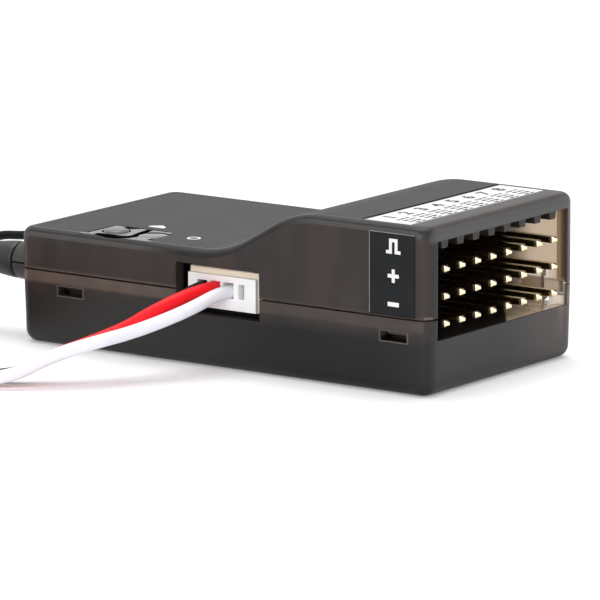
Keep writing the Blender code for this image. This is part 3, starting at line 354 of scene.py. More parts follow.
def base(name):
    """A new material with its Principled shader, its output and Object coordinates."""
    made = bpy.data.materials.new(name)
    made.use_nodes = True
    tree = made.node_tree
    shader = tree.nodes["Principled BSDF"]
    place = node(tree, "ShaderNodeTexCoord").outputs["Object"]
    return made, tree, shader, place


def grain(tree, place, size, detail=2.0):
    """Noise whose lumps are about a size in millimetres across."""
    return node(
        tree, "ShaderNodeTexNoise", {"Vector": place, "Scale": 1 / (size * MM), "Detail": detail}
    ).outputs["Fac"]


def maths(tree, operation, *values):
    """The result of a Math node."""
    return node(tree, "ShaderNodeMath", dict(enumerate(values)), operation=operation).outputs[0]


def stretched(tree, value, old, new, curve="LINEAR"):
    """A value taken from one range to another, and held at its ends."""
    return node(tree, "ShaderNodeMapRange", {
        "Value": value, "From Min": old[0], "From Max": old[1], "To Min": new[0], "To Max": new[1]
    }, interpolation_type=curve).outputs[0]


def spread(tree, factor, low, high):
    """A factor of 0 to 1 stretched to a range."""
    return stretched(tree, factor, (0, 1), (low, high))


def plain(name, dark, light, roughness, size, bump=0.0, bump_size=0.05, **settings):
    """An opaque finish: two close colours mixed by noise of a size in millimetres, uneven
    roughness, and a fine bump."""
    made, tree, shader, place = base(name)
    fine = grain(tree, place, bump_size, 1.0)
    inputs = {socket.replace("_", " "): value for socket, value in settings.items()}
    inputs["Base Color"] = ramp(tree, grain(tree, place, size), [(0.3, dark), (0.7, light)])
    inputs["Roughness"] = spread(tree, fine, roughness * 0.85, roughness * 1.15)
    if bump:
        inputs["Normal"] = node(tree, "ShaderNodeBump", {
            "Height": fine, "Strength": bump, "Distance": bump_size * MM * 0.3
        }).outputs["Normal"]
    feed(tree, shader, inputs)
    return made


def band(tree, value, low, high, soft):
    """1 between two values and 0 beyond them, with soft edges, all in millimetres."""
    around = lambda edge: ((edge - soft) * MM, (edge + soft) * MM)
    rise = stretched(tree, value, around(low), (0, 1), "SMOOTHSTEP")
    fall = stretched(tree, value, around(high), (1, 0), "SMOOTHSTEP")
    return maths(tree, "MULTIPLY", rise, fall)


def mixed(tree, factor, first, second):
    """Two colours mixed by a factor, each a hex code, a linear colour or a socket."""
    colours = [(*linear(c), 1) if isinstance(c, str) else c for c in (first, second)]
    return node(
        tree, "ShaderNodeMix", {0: factor, 6: colours[0], 7: colours[1]}, data_type="RGBA"
    ).outputs[2]


def times(tree, *factors):
    """The product of two or more factors."""
    made = factors[0]
    for factor in factors[1:]:
        made = maths(tree, "MULTIPLY", made, factor)
    return made


def either(tree, first, second):
    """The greater of two factors."""
    return maths(tree, "MAXIMUM", first, second)


def axes_of(tree, place):
    """The coordinates of each point by name, with across for its distance from the middle plane."""
    x, y, z = node(tree, "ShaderNodeSeparateXYZ", {0: place}).outputs
    return {"x": x, "y": y, "z": z, "across": maths(tree, "ABSOLUTE", y)}


def zone(tree, axes, **limits):
    """1 inside the limits (low, high, softness) along the named axes, and 0 beyond them."""
    return times(tree, *(band(tree, axes[axis], *limit) for axis, limit in limits.items()))


def zoned(tree, axes, outer, inner, **limits):
    """One colour, with another in a zone of it."""
    return mixed(tree, zone(tree, axes, **limits), outer, inner)


def daylit(tree, axes, low, soft):
    """1 past an oblique line across the bay, where the daylight from its far cheek ends."""
    lean = 0.72
    return band(tree, maths(tree, "MULTIPLY_ADD", axes["y"], lean, axes["x"]), low, 2 * OPEN, soft)


def painted_rim_reflection(tree, axes, tint):
    """Adds two bands of painted reflection along the rim of the cover, just below its top: a dark
    one inwards and a lighter one, which fades towards the pins, at the edge."""
    slope = ((SLOPE_END - SLOPE_RUN) * MM, SLOPE_END * MM)
    top = stretched(tree, axes["x"], slope, (LOW_TOP * MM, HIGH_TOP * MM), "SMOOTHSTEP")
    depth = maths(tree, "SUBTRACT", top, axes["z"])
    rim = times(tree, band(tree, depth, -1, 1.0, 0.25), zone(tree, axes, z=(SEAM + 1, OPEN, 0.1)))
    inwards = zone(tree, axes, across=(10.9, 12.08, 0.06))
    # Painted reflection: the dark band inwards on the rim.
    tint = mixed(tree, times(tree, rim, inwards), tint, "#302f2e")
    # Painted reflection: the lighter band at the rim's edge, fading towards the pins.
    painted_edge_reflection = zoned(tree, axes, "#605e5b", "#262523", x=(-7, 9, 3))
    edge = zone(tree, axes, across=(12.12, 12.29, 0.008))
    return mixed(tree, times(tree, rim, edge), tint, painted_edge_reflection)


def painted_end_light(tree, axes, tint):
    """Adds painted light on the greyer ends: the pins' end painted warm towards its far corner and
    pale along its top as a painted highlight, and the necks' end painted lighter.
    """
    # Painted light: the pins' end warm towards its far corner, with a painted highlight along its
    # top.
    shade = zoned(tree, axes, "#3c3c3d", "#6c615b", y=(6, 14, 8))
    shade = zoned(tree, axes, shade, "#6a6969", z=(HIGH_TOP - 1.4, OPEN, 0.3))
    tint = zoned(tree, axes, tint, shade, x=(HALF_LENGTH - 0.25, OPEN, 0.2))
    # Painted light: the necks' end lighter.
    return zoned(tree, axes, tint, "#5a5856", x=(-OPEN, -HALF_LENGTH - 0.1, 0.05))


def painted_thin_wall_light(tree, axes, place, tint):
    """Adds painted light where the walls are thin: the lip behind the seam, painted lighter with a
    brighter painted patch at its near left corner, the edges of the latch windows and the catch
    inside the pins' end."""
    # Painted light through the thin lip behind the seam, uneven by noise.
    lip = times(tree, spread(tree, grain(tree, place, 3.2, 1.0), 0.3, 1.3), zone(
        tree, axes, z=(SEAM - LIP_HEIGHT + 0.1, SEAM + 0.3, 0.22), across=(12.0, 13, 0.02),
    ))
    tint = mixed(tree, lip, tint, zoned(tree, axes, "#7d6d63", "#5d534d", x=(0, OPEN, 7)))
    # Painted light: a brighter patch at the lip's near left corner.
    tint = zoned(
        tree, axes, tint, "#a08c8a", x=(-24, -22.8, 0.15), y=(-12.4, -11.6, 0.1),
        z=(6.1, 6.9, 0.15),
    )
    # Painted light along the edges of the latch windows.
    for window in HOOK_X:
        tint = zoned(
            tree, axes, tint, "#776c63", x=(window - 1.58, window + 1.66, 0.03),
            z=(WINDOW_LOW - 0.1, WINDOW_HIGH + 0.08, 0.03), across=(12.0, 13, 0.02),
        )
    # Painted light on the catch inside the pins' end.
    return zoned(
        tree, axes, tint, "#685d55", across=(10.9, 12.05, 0.02), z=(5.3, 5.95, 0.05),
        x=(18, 21.6, 0.05),
    )


def cheek_zone(tree, axes):
    """The far cheek of the bay, all of its inner face and a softer patch of its outer face."""
    inner = either(
        tree, zone(tree, axes, y=(0, 11.9, 0.05)),
        zone(tree, axes, x=(17.8, OPEN, 1.5), z=(4.4, 14.1, 0.8)),
    )
    return times(tree, zone(
        tree, axes, y=(BAY_HALF - 0.9, 12.6, 0.05), z=(2.2, BAY_HIGH, 0.1),
        x=(BAY_START, HALF_LENGTH - 0.3, 0.05),
    ), inner)


def painted_bay_backlight(tree, axes, cheek, floor, tint):
    """Adds the painted tan of light behind the bay's far cheek: paler where the cheek is layered,
    below the seam and at the far hook, painted shade in brown at its outer edge, and painted light
    in tan again on the daylit floor and on the seam's step."""
    # Painted backlight, paler where the cheek is layered.
    paler_backlight_zone = either(
        tree, zone(tree, axes, z=(0, SEAM + 0.2, 0.05)),
        zone(tree, axes, x=(18.4, 21.3, 0.05), z=(0, 8.1, 0.2)),
    )
    shade = mixed(tree, paler_backlight_zone, "#c0ac94", "#d8ccbe")
    # Painted shade: brown at the cheek's outer edge.
    shade = zoned(tree, axes, shade, "#5c4832", x=(22.3, OPEN, 0.12), z=(SEAM + 0.3, OPEN, 0.1))
    # Painted backlight: tan over the far cheek.
    tint = mixed(tree, cheek, tint, shade)
    # Painted light on the daylit floor of the bay.
    tint = mixed(tree, floor, tint, "#f2d8bc")
    # Painted light on the seam's step.
    return zoned(
        tree, axes, tint, "#8a7a6e", x=(5.2, OPEN, 0.3), z=(SEAM, SEAM + 0.4, 0.02),
        across=(11.3, 12, 0.05),
    )


def smoked_polycarbonate():
    """Injection moulded polycarbonate with a smoke tint: a soft gloss over a nearly black body.
    Light is painted into its colour: where one wall has light behind it, at the far cheek of the
    bay, it is painted tan and lets light through; the thin lip at the seam and the edges of the
    latch windows are painted lighter; the pins' bends behind the wall are painted as faint brown
    streaks; bands of painted reflection run along the rim; the ends carry painted light; and the
    lower body and the slots at the button are painted darker as shade. The bay's shelf and the
    island at the button are polished. Light passes the walls as a tinted shadow, so that the
    inside isn't black."""
    made, tree, shader, place = base("smoked_polycarbonate")
    axes = axes_of(tree, place)
    upright = node(tree, "ShaderNodeMapping", {0: place, "Scale": (1, 1, 0.22)}).outputs[0]
    streaks = grain(tree, upright, 2.6, 1.5)
    shelf_level = (BAY_LOW - 0.2, BAY_LOW + 0.2, 0.02)
    cheek = cheek_zone(tree, axes)
    # Painted light: the daylit part of the bay's shelf.
    floor = times(tree, daylit(tree, axes, 24.1, 0.12), zone(
        tree, axes, across=(-OPEN, BAY_HALF, 0.05), x=(BAY_START, HALF_LENGTH - 0.3, 0.05),
        z=shelf_level,
    ))
    shelf = zone(
        tree, axes, x=(BAY_START, HALF_LENGTH - 0.4, 0.05), across=(-OPEN, BAY_HALF - 0.05, 0.01),
        z=shelf_level,
    )
    island = zone(
        tree, axes, x=(ISLAND[0] - 0.4, ISLAND[1] + 0.4, 0.02), y=(-11.9, ISLAND[2] + 0.4, 0.05),
    )

    # The pins' bends behind the wall painted as faint brown streaks.
    tint = ramp(tree, streaks, [(0.35, "#383533"), (0.62, "#493d38")])
    # Painted shade: the lower body darker below the lip, darkest towards the pins' end.
    low = zoned(tree, axes, "#363634", "#0d0d0c", x=(4, 23.3, 6))
    tint = zoned(tree, axes, tint, low, z=(-OPEN, SEAM - LIP_HEIGHT - 0.6, 0.8))
    tint = painted_end_light(tree, axes, painted_rim_reflection(tree, axes, tint))
    tint = painted_thin_wall_light(tree, axes, place, tint)
    tint = painted_bay_backlight(tree, axes, cheek, floor, tint)
    # Painted shade: the walls of the slots and holes at the button nearly black.
    slots = times(tree, island, zone(tree, axes, z=(LOW_TOP - WALL - 0.1, LOW_TOP - 0.02, 0.01)))
    tint = mixed(tree, slots, tint, "#050505")
    clear = maths(tree, "SUBTRACT", cheek, floor)
    above = zone(tree, axes, z=(LOW_TOP - 0.02, LOW_TOP + 1, 0.01))
    face = times(tree, island, above, spread(tree, streaks, 0.6, 0.9))
    feed(tree, shader, {
        "Base Color": tint,
        "Roughness": spread(tree, grain(tree, place, 0.5, 1.0), 0.34, 0.42),
        "IOR": 1.45,
        "Specular IOR Level": 0.19,
        "Transmission Weight": stretched(tree, clear, (-1, 1), (0, 0.95)),
        "Coat Weight": either(tree, shelf, face),
        "Coat Roughness": 0.04,
        "Coat IOR": 1.8,
    })

    shadow = node(tree, "ShaderNodeBsdfTransparent", {0: tint})
    path = node(tree, "ShaderNodeLightPath")
    both = node(tree, "ShaderNodeMixShader", {
        0: path.outputs["Is Shadow Ray"], 1: shader.outputs[0], 2: shadow.outputs[0]
    })
    tree.links.new(both.outputs[0], tree.nodes["Material Output"].inputs["Surface"])
    return made


def gold_plate():
    """Gold flash over brass, with fine drawing marks along the shafts. The shafts are painted
    darker as shade, their upper faces pale and less metallic as a painted highlight where daylight
    reaches them, and the tips are bright."""
    made, tree, shader, place = base("gold_plated_brass")
    axes = axes_of(tree, place)
    stretch = node(tree, "ShaderNodeMapping", {0: place, "Scale": (0.08, 1, 1)}).outputs[0]
    marks = grain(tree, stretch, 0.08, 2.0)
    # Painted shade: the shafts darker.
    painted_shaft = ramp(tree, marks, [(0.3, "#4f402a"), (0.7, "#6d5a3c")])
    lit, painted_top_light = daylit(tree, axes, 24.2, 0.5), 0
    for height, _ in PIN_ROWS.values():
        face = height + PIN_WIDTH / 2
        # Painted highlight: the upper faces pale and less metallic where daylight reaches them.
        upper = times(tree, lit, zone(tree, axes, z=(face - 0.02, height + 0.6, 0.01)))
        painted_shaft = mixed(tree, upper, painted_shaft, "#f2dcb2")
        painted_top_light = maths(tree, "ADD", painted_top_light, upper)
    feed(tree, shader, {
        "Base Color": zoned(tree, axes, painted_shaft, "#f6e6c0", x=(TIP_START, OPEN, 0.1)),
        "Roughness": spread(tree, marks, 0.2, 0.34),
        "Metallic": spread(tree, painted_top_light, 1.0, 0.3),
    })
    return made


def tinned_steel():
    """Rolled and tinned steel sheet: a soft silver sheen with faint spangle."""
    return plain("tinned_steel", "#a9a8a4", "#c4c3be", 0.32, 0.8, Metallic=1.0)


def clear_acrylic():
    """Cast acrylic: glass clear, with a polished end."""
    made, tree, shader, place = base("clear_acrylic")
    noise = grain(tree, place, 0.6)
    feed(tree, shader, {
        "Base Color": ramp(tree, noise, [(0.3, "#76777a"), (0.7, "#818285")]),
        "Roughness": spread(tree, noise, 0.05, 0.12),
        "Transmission Weight": 0.6,
        "IOR": 1.49,
    })
    return made


def silicone_wire(name, shade):
    """Silicone rubber jacket: satin, its colour a little mottled."""
    made, tree, shader, place = base(f"silicone_wire_{name}")
    dark, light = ((*np.clip(np.array(shade) * k, 0, 1), 1) for k in (0.94, 1.03))
    feed(tree, shader, {
        "Base Color": mixed(tree, grain(tree, place, 1.4), dark, light),
        "Roughness": spread(tree, grain(tree, place, 0.06, 1.0), 0.42, 0.56),
        "Specular IOR Level": 0.25,
    })
    return made


def matt_paper(shade):
    """Uncoated paper: matt, a little mottled, and slightly brighter to the eye and in reflections
    than the light on it makes it."""
    made, tree, shader, place = base("matt_paper")
    rays = node(tree, "ShaderNodeLightPath").outputs
    seen = either(tree, rays["Is Camera Ray"], rays["Is Glossy Ray"])
    seen = either(tree, seen, rays["Is Transmission Ray"])
    dark, light = ((*(np.array(shade) * k), 1) for k in (0.985, 1))
    feed(tree, shader, {
        "Base Color": mixed(tree, grain(tree, place, 4.0), dark, light),
        "Roughness": 0.9,
        "Specular IOR Level": 0.1,
        "Emission Strength": times(tree, seen, 0.2),
        "Emission Color": (1, 1, 1, 1),
    })
    return made


def colour(name, code, description):
    """A colour that a user would change."""
    return FloatVectorProperty(
        name=name, description=description, subtype="COLOR", size=3, min=0, max=1,
        default=linear(code),
    )


class ReceiverLooks(bpy.types.PropertyGroup):
    """Sizes and colours that a user would change."""
    edge: FloatProperty(
        name="Moulded edge", description="Rounding of the small plastic parts' edges",
        default=0.12 * MM, min=0, unit="LENGTH",
    )
    red_wire: colour("Red wire", "#f0121f", "Silicone jacket of the power wire")
    white_wire: colour("White wire", "#f0eef6", "Silicone jacket of the signal wire")
    black_wire: colour("Black wire", "#060606", "Silicone jacket of the ground wire")
    floor: colour("Floor", "#f4f4f6", "Paper under the receiver")


# Case

def plan_ring(corner_steps=12, long_steps=96, short_steps=44):
    """The case's plan and its outward directions: four quarter turns of the corner radius about
    the corner centres, joined by straight runs."""
    quarters = np.array([(1, -1), (1, 1), (-1, 1), (-1, -1)])
    centres = quarters * (HALF_LENGTH - CORNER, HALF_WIDTH - CORNER)
    starts = np.radians([-90, 0, 90, 180])
    turns = starts[:, None] + np.linspace(0, np.pi / 2, corner_steps + 1)[None]
    away = np.stack([np.cos(turns), np.sin(turns)], -1)
    arcs = centres[:, None] + CORNER * away
    points, normals = [], []
    for n, steps in enumerate((short_steps, long_steps, short_steps, long_steps)):
        share = np.linspace(0, 1, steps + 1)[1:-1, None]
        points += [arcs[n], arcs[n][-1] * (1 - share) + arcs[(n + 1) % 4][0] * share]
        normals += [away[n], np.repeat(away[n][-1:], steps - 1, axis=0)]
    return np.concatenate(points), np.concatenate(normals)


def top_height(x, inset=0.0):
    """Height of the case's top over x, at a depth below its surface: level, a hollow arc, a
    straight slope, a crest arc of the same radius, and level again."""
    turn = 1 - math.cos(SLOPE_ANGLE)
    rise = HIGH_TOP - LOW_TOP - 2 * SLOPE_RADIUS * turn
    run = 2 * SLOPE_RADIUS * math.sin(SLOPE_ANGLE) + rise / math.tan(SLOPE_ANGLE)
    foot = SLOPE_END - run
    hollow, crest = SLOPE_RADIUS + inset, SLOPE_RADIUS - inset
    rising = np.clip(x - foot, 0, hollow * math.sin(SLOPE_ANGLE))
    settling = np.clip(SLOPE_END - x, 0, crest * math.sin(SLOPE_ANGLE))
    low = LOW_TOP + SLOPE_RADIUS - np.sqrt(hollow**2 - rising**2)
    high = HIGH_TOP - SLOPE_RADIUS + np.sqrt(crest**2 - settling**2)
    straight_from = foot + hollow * math.sin(SLOPE_ANGLE)
    straight_to = SLOPE_END - crest * math.sin(SLOPE_ANGLE)
    slope = low + (np.clip(x, straight_from, straight_to) - straight_from) * math.tan(SLOPE_ANGLE)
    return np.where(x < straight_from, low, np.where(x > straight_to, high, slope))


def cover_form(name, inset, bottom):
    """The closed form of the case above a height. Rings of the plan go up the wall, over the
    rim's quarter turn and in to the middle line, where opposite points meet. The lowest ring is
    then filled."""
    plan, away = plan_ring()
    plan = plan - inset * away
    rim = max(RIM - inset, 0.02)
    end = HALF_LENGTH - HALF_WIDTH
    spine = np.stack([np.clip(plan[:, 0], -end, end), 0 * plan[:, 0]], -1)
    rows = []
    for share in np.linspace(0, 1, 5):
        top = top_height(plan[:, 0], inset) - rim
        rows.append(np.column_stack([plan, bottom + (top - bottom) * share]))
    for turn in np.linspace(0, np.pi / 2, 13)[1:]:
        ring = plan - rim * (1 - math.cos(turn)) * away
        drop = rim * (1 - math.sin(turn))
        rows.append(np.column_stack([ring, top_height(ring[:, 0], inset) - drop]))
    edge = plan - rim * away
    for share in np.linspace(0, 1, 12)[1:]:
        ring = edge * (1 - share) + spine * share
        rows.append(np.column_stack([ring, top_height(ring[:, 0], inset)]))
    made = skin(name, rows, caps=False)
    bm = bmesh.new()
    bm.from_mesh(made.data)
    bmesh.ops.holes_fill(bm, edges=[e for e in bm.edges if e.is_boundary], sides=0)
    bmesh.ops.recalc_face_normals(bm, faces=bm.faces)
    bm.to_mesh(made.data)
    bm.free()
    return made


def plan_slab(name, inset, low, high):
    """The case's plan, inset, between two heights."""
    plan, away = plan_ring()
    ring = plan - inset * away
    return skin(name, [np.column_stack([ring, np.full(len(ring), z)]) for z in (low, high)])


def base_form():
    """The lower body: rings from the flat underside round the foot's quarter turn and up the
    drafted wall to the seam."""
    plan, away = plan_ring()
    turns = np.linspace(0, np.pi / 2, 11)
    steps = [(FOOT * (1 - math.sin(t)), FOOT * (1 - math.cos(t))) for t in turns]
    steps += [(0.0, z) for z in np.linspace(FOOT, SEAM, 5)[1:]]
    rows = [
        np.column_stack([plan - (inset + DRAFT * (1 - z / SEAM)) * away, np.full(len(plan), z)])
        for inset, z in steps
    ]
    return skin("lower_shell", rows)


def joins(solids):
    """Steps that add solids."""
    return [("UNION", solid) for solid in solids]


def cuts(solids):
    """Steps that cut solids away."""
    return [("DIFFERENCE", solid) for solid in solids]


def neck_rods(radius, inner, outer):
    """A level rod on the seam for each aerial."""
    return [
        rod("neck", (outer, side * NECK_Y, SEAM), (inner, side * NECK_Y, SEAM), radius)
        for side in (-1, 1)
    ]


def necks():
    """The stubs that the aerials' boots sit on."""
    return neck_rods(NECK_RADIUS, -23.1, NECK_END)


def neck_bores():
    """The aerials' way through their necks and the wall."""
    return neck_rods(NECK_BORE, -20.5, NECK_END - 1)


def post_rods(low, top):
    """Upright rods on both sides, from a height up to what top gives at their x."""
    return [
        rod("post", (x, side * y, low), (x, side * y, top(x)), POST_RADIUS, 32)
        for x, y in POSTS for side in (-1, 1)
    ]


def windows():
    """Blocks for the latch windows, through both long walls at each hook."""
    half = HOOK_WIDTH / 2 + 0.3
    return blocks("windows", [
        (
            (x - half, side * HALF_WIDTH - 2, WINDOW_LOW),
            (x + half, side * HALF_WIDTH + 2, WINDOW_HIGH),
        )
        for x in HOOK_X for side in (-1, 1)
    ])


def port_block():
    """A block through the near wall at the side socket."""
    return blocks("port", [(
        (PORT_X - PORT_HALF, -HALF_WIDTH - 2, PORT_LOW), (PORT_X + PORT_HALF, -10.8, PORT_HIGH)
    )])


def bay_block(start):
    """A block from an x out through the pins' end."""
    return blocks("bay", [((start, -BAY_HALF, BAY_LOW), (HALF_LENGTH + 2, BAY_HALF, BAY_HIGH))])


def make_lower_shell(finish):
    """The lower body with its necks, less all above the seam, the hollow and the rebate of the
    lip, plus posts and the bay's shelf, less the bay, the port, the windows and the bores."""
    reach, side, shelf_start = HALF_LENGTH + 6, HALF_WIDTH + 3, 17.5
    steps = joins(necks()) + cuts([
        blocks("above", [((-reach, -side, SEAM), (reach, side, SEAM + 6))]),
        plan_slab("hollow", WALL, WALL, SEAM + 2),
        plan_slab("rebate", LIP_THICKNESS, SEAM - LIP_HEIGHT, SEAM + 2),
    ]) + joins([
        *post_rods(0.6, lambda x: BOARD_LOW - 0.3),
        blocks("shelf", [
            ((shelf_start, -9.95, BAY_LOW - 1.2), (HALF_LENGTH - 0.6, 9.95, BAY_LOW + 0.3))
        ]),
    ]) + cuts([bay_block(shelf_start - 0.3), port_block(), windows(), *neck_bores()])
    piece(shaped(base_form(), steps), finish, ["lower_case"])


def hook_form(name, x, side):
    """A snap hook on the inside of a wall: a section of (across, height) points with a catch at
    its foot, drawn out along the wall by the hook's width."""
    face = HALF_WIDTH - WALL - 0.3
    back, reach, catch, root = face - 0.55, face + 0.6, WINDOW_LOW + 0.3, SEAM + SEAM_GAP + 0.3
    section = np.array([
        (back, WINDOW_LOW - 0.3), (face, WINDOW_LOW - 0.3), (face, catch), (reach, catch + 0.2),
        (reach, catch + 0.35), (face, catch + 0.35), (face, root), (reach, root),
        (reach, root + 1.2), (back, root + 0.3),
    ])
    rows = [
        np.column_stack([np.full(len(section), x + end), side * section[:, 0], section[:, 1]])
        for end in (-HOOK_WIDTH / 2, HOOK_WIDTH / 2)
    ]
    return skin(name, rows)


def rib_forms():
    """Eight guide ribs under the lintel: a section that narrows downwards, drawn out along X."""
    low, high, ends = BAY_HIGH - 0.85, HIGH_TOP - 0.6, (17.43, 23.23)
    section = np.array([
        (-0.45, low), (0.45, low), (0.62, BAY_HIGH), (0.7, high), (-0.7, high), (-0.62, BAY_HIGH)
    ])
    return [
        skin("rib", [
            np.column_stack([np.full(len(section), x), y + section[:, 0], section[:, 1]])
            for x in ends
        ]) for y in column_places()
    ]


def drawn_across(name, x, low, high, half):
    """A section between two heights over x, drawn out across the case to both sides."""
    section = np.concatenate([np.stack([x, low], -1), np.stack([x[::-1], high[::-1]], -1)])
    return skin(name, [
        np.column_stack([section[:, 0], np.full(len(section), y), section[:, 1]])
        for y in (-half, half)
    ])


def film_pocket():
    """The shallow recess under the top labels: the top's line drawn out across the case, less
    the bare island at the button."""
    x = np.linspace(FILM[0] - 0.08, STRIP[1] + 0.08, 140)
    pocket = drawn_across(
        "label_pocket", x, top_height(x, LABEL_THICK + 0.02), top_height(x) + 2, FILM[2] + 0.08
    )
    return shaped(pocket, cuts([blocks("island", [
        ((ISLAND[0] + 0.3, -HALF_WIDTH, 5), (ISLAND[1] - 0.3, ISLAND[2] - 0.3, 20))
    ])]))


def button_slots():
    """The moulded slot that turns round the front and right of the button, and the short one
    behind it: outlines in plan, cut down from the top."""
    front = [
        (-15.2, -11.5), (-13.5, -11.8), (-12.1, -11.75), (-11.2, -11.4), (-10.85, -10.4),
        (-11.1, -9.2), (-11.45, -8.0), (-11.65, -6.75), (-12.4, -6.75), (-12.25, -7.9),
        (-12.05, -9.0), (-11.85, -9.9), (-12.0, -10.4), (-12.6, -10.6), (-13.8, -10.55),
        (-15.2, -10.7),
    ]
    behind = [(-14.9, -7.8), (-14.9, -6.7), (-13.0, -6.7), (-13.4, -7.1), (-13.9, -7.6)]
    return [
        outline_plate("slot", outline, 2, (1, 0, 0), (0, 1, 0), (0, 0, 1), (0, 0, LOW_TOP - 0.5))
        for outline in (front, behind)
    ]


def make_upper_shell(finish):
    """The cover with its necks, less all below the seam's gap, plus the tongue behind the lip,
    less the cavity and the bay's mouth, plus ribs, posts and hooks, less the port, the labels'
    pockets, the holes of the button and the lamp, the slots and the bores."""
    reach, side, bottom = HALF_LENGTH + 6, HALF_WIDTH + 3, SEAM + SEAM_GAP
    tongue = SEAM - LIP_HEIGHT + 0.3
    margin = 0.06
    steps = joins(necks()) + cuts([blocks("below", [((-reach, -side, 0), (reach, side, bottom))])])
    steps += joins([plan_slab("tongue", LIP_THICKNESS + SEAM_GAP, tongue, bottom + 1)])
    steps += cuts([cover_form("cavity", WALL, tongue - 1), bay_block(HALF_LENGTH - 1.5)])
    steps += joins([
        *rib_forms(),
        *post_rods(BOARD_TOP + 0.3, lambda x: float(top_height(np.array(x), WALL / 2))),
        *(hook_form("hook", x, s) for x in HOOK_X for s in (-1, 1)),
    ])
    steps += cuts([
        port_block(), film_pocket(),
        blocks("side_pocket", [(
            (SIDE_LABEL[0] - margin, -HALF_WIDTH - 2, SIDE_LABEL[2] - margin),
            (SIDE_LABEL[1] + margin, -HALF_WIDTH + LABEL_THICK + 0.02, SIDE_LABEL[3] + margin),
        )]),
        rod("button_hole", (*BUTTON, 8), (*BUTTON, 14), 1.4, 48),
        rod("lamp_hole", (*LAMP, 8), (*LAMP, 14), 1.55, 48),
        *button_slots(), *neck_bores(),
    ])
    piece(shaped(cover_form("upper_shell", 0, bottom), steps), finish, ["upper_case"])


def column_places():
    """The y of each pin of a row."""
    return [(column - (COLUMNS - 1) / 2) * PITCH for column in range(COLUMNS)]


# Labels

def outline_plate(name, outline, depth, across, up, out, origin):
    """A flat mark: an outline of (u, v) points at origin + u across + v up, drawn out by a depth
    along out."""
    across, up, out, origin = (np.array(v, float) for v in (across, up, out, origin))
    flat = np.array(outline, float)
    front = origin + flat[:, :1] * across + flat[:, 1:] * up
    return skin(name, [front, front + depth * out])


def ring_plate(name, centre, inner, outer, z):
    """A flat ring on the top: a turned square section."""
    profile = [(inner, z), (outer, z), (outer, z - 0.04), (inner, z - 0.04)]
    rows = [
        [(centre[0] + r * c, centre[1] + r * s, h) for c, s in circle(40)] for r, h in profile
    ]
    return skin(name, rows, loop=True)


def digit(name, body, size, matrix):
    """A plain number as a thin plate."""
    curve = bpy.data.curves.new(name, "FONT")
    curve.body, curve.size, curve.extrude, curve.offset = body, size * MM, 0.015 * MM, 0.05 * MM
    curve.align_x, curve.align_y = "CENTER", "CENTER"
    curve.resolution_u = 3
    drawn = object_of(name, curve)
    graph = bpy.context.evaluated_depsgraph_get()
    mesh = bpy.data.meshes.new_from_object(drawn.evaluated_get(graph))
    bpy.data.objects.remove(drawn)
    mesh.transform(matrix)
    return object_of(name, closed(mesh))


def joined(name, parts):
    """Several separate plates as one mesh."""
    bm = bmesh.new()
    for part in parts:
        bm.from_mesh(part.data)
        bpy.data.objects.remove(part)
    mesh = bpy.data.meshes.new(name)
    bm.to_mesh(mesh)
    bm.free()
    return object_of(name, mesh)


def make_top_film():
    """The film over the top between its ends, drawn out across the case, less a rounded notch for
    the bare island."""
    start, end, half = FILM
    x = np.linspace(start, end, 130)
    sheet = drawn_across("label_film", x, top_height(x, LABEL_THICK), top_height(x), half)
    radius = 1.3
    corner = circle(48, radius)
    low = (ISLAND[0] + radius, -HALF_WIDTH - radius)
    high = (ISLAND[1] - radius, ISLAND[2] - radius)
    centres = np.where(corner > 0, high, low)
    sheet = shaped(sheet, cuts([skin("notch", [
        np.column_stack([centres + corner, np.full(len(corner), z)]) for z in (5, 20)
    ])]))
    grey = plain("matt_polyester_film", "#343435", "#3a3a3b", 0.55, 3.0, IOR=1.28)
    piece(sheet, grey, ["top_film"])


def make_flat_labels():
    """The channel strip on the top and the polarity label on the near wall: thin blocks."""
    half = FILM[2]
    strip = blocks("channel_label", [
        ((STRIP[0], -half, HIGH_TOP - LABEL_THICK), (STRIP[1], half, STRIP_TOP))
    ])
    paper = plain("white_vinyl", "#e6e6e8", "#efeff0", 0.5, 2.0, bump=0.1)
    piece(strip, paper, ["channel_strip"])
    start, end, low, high = SIDE_LABEL
    side = blocks("polarity_label", [
        ((start, -HALF_WIDTH, low), (end, -HALF_WIDTH + LABEL_THICK, high))
    ])
    dark = plain("dark_vinyl", "#1c1e1f", "#222425", 0.5, 2.5, IOR=1.2)
    piece(side, dark, ["side_label"])


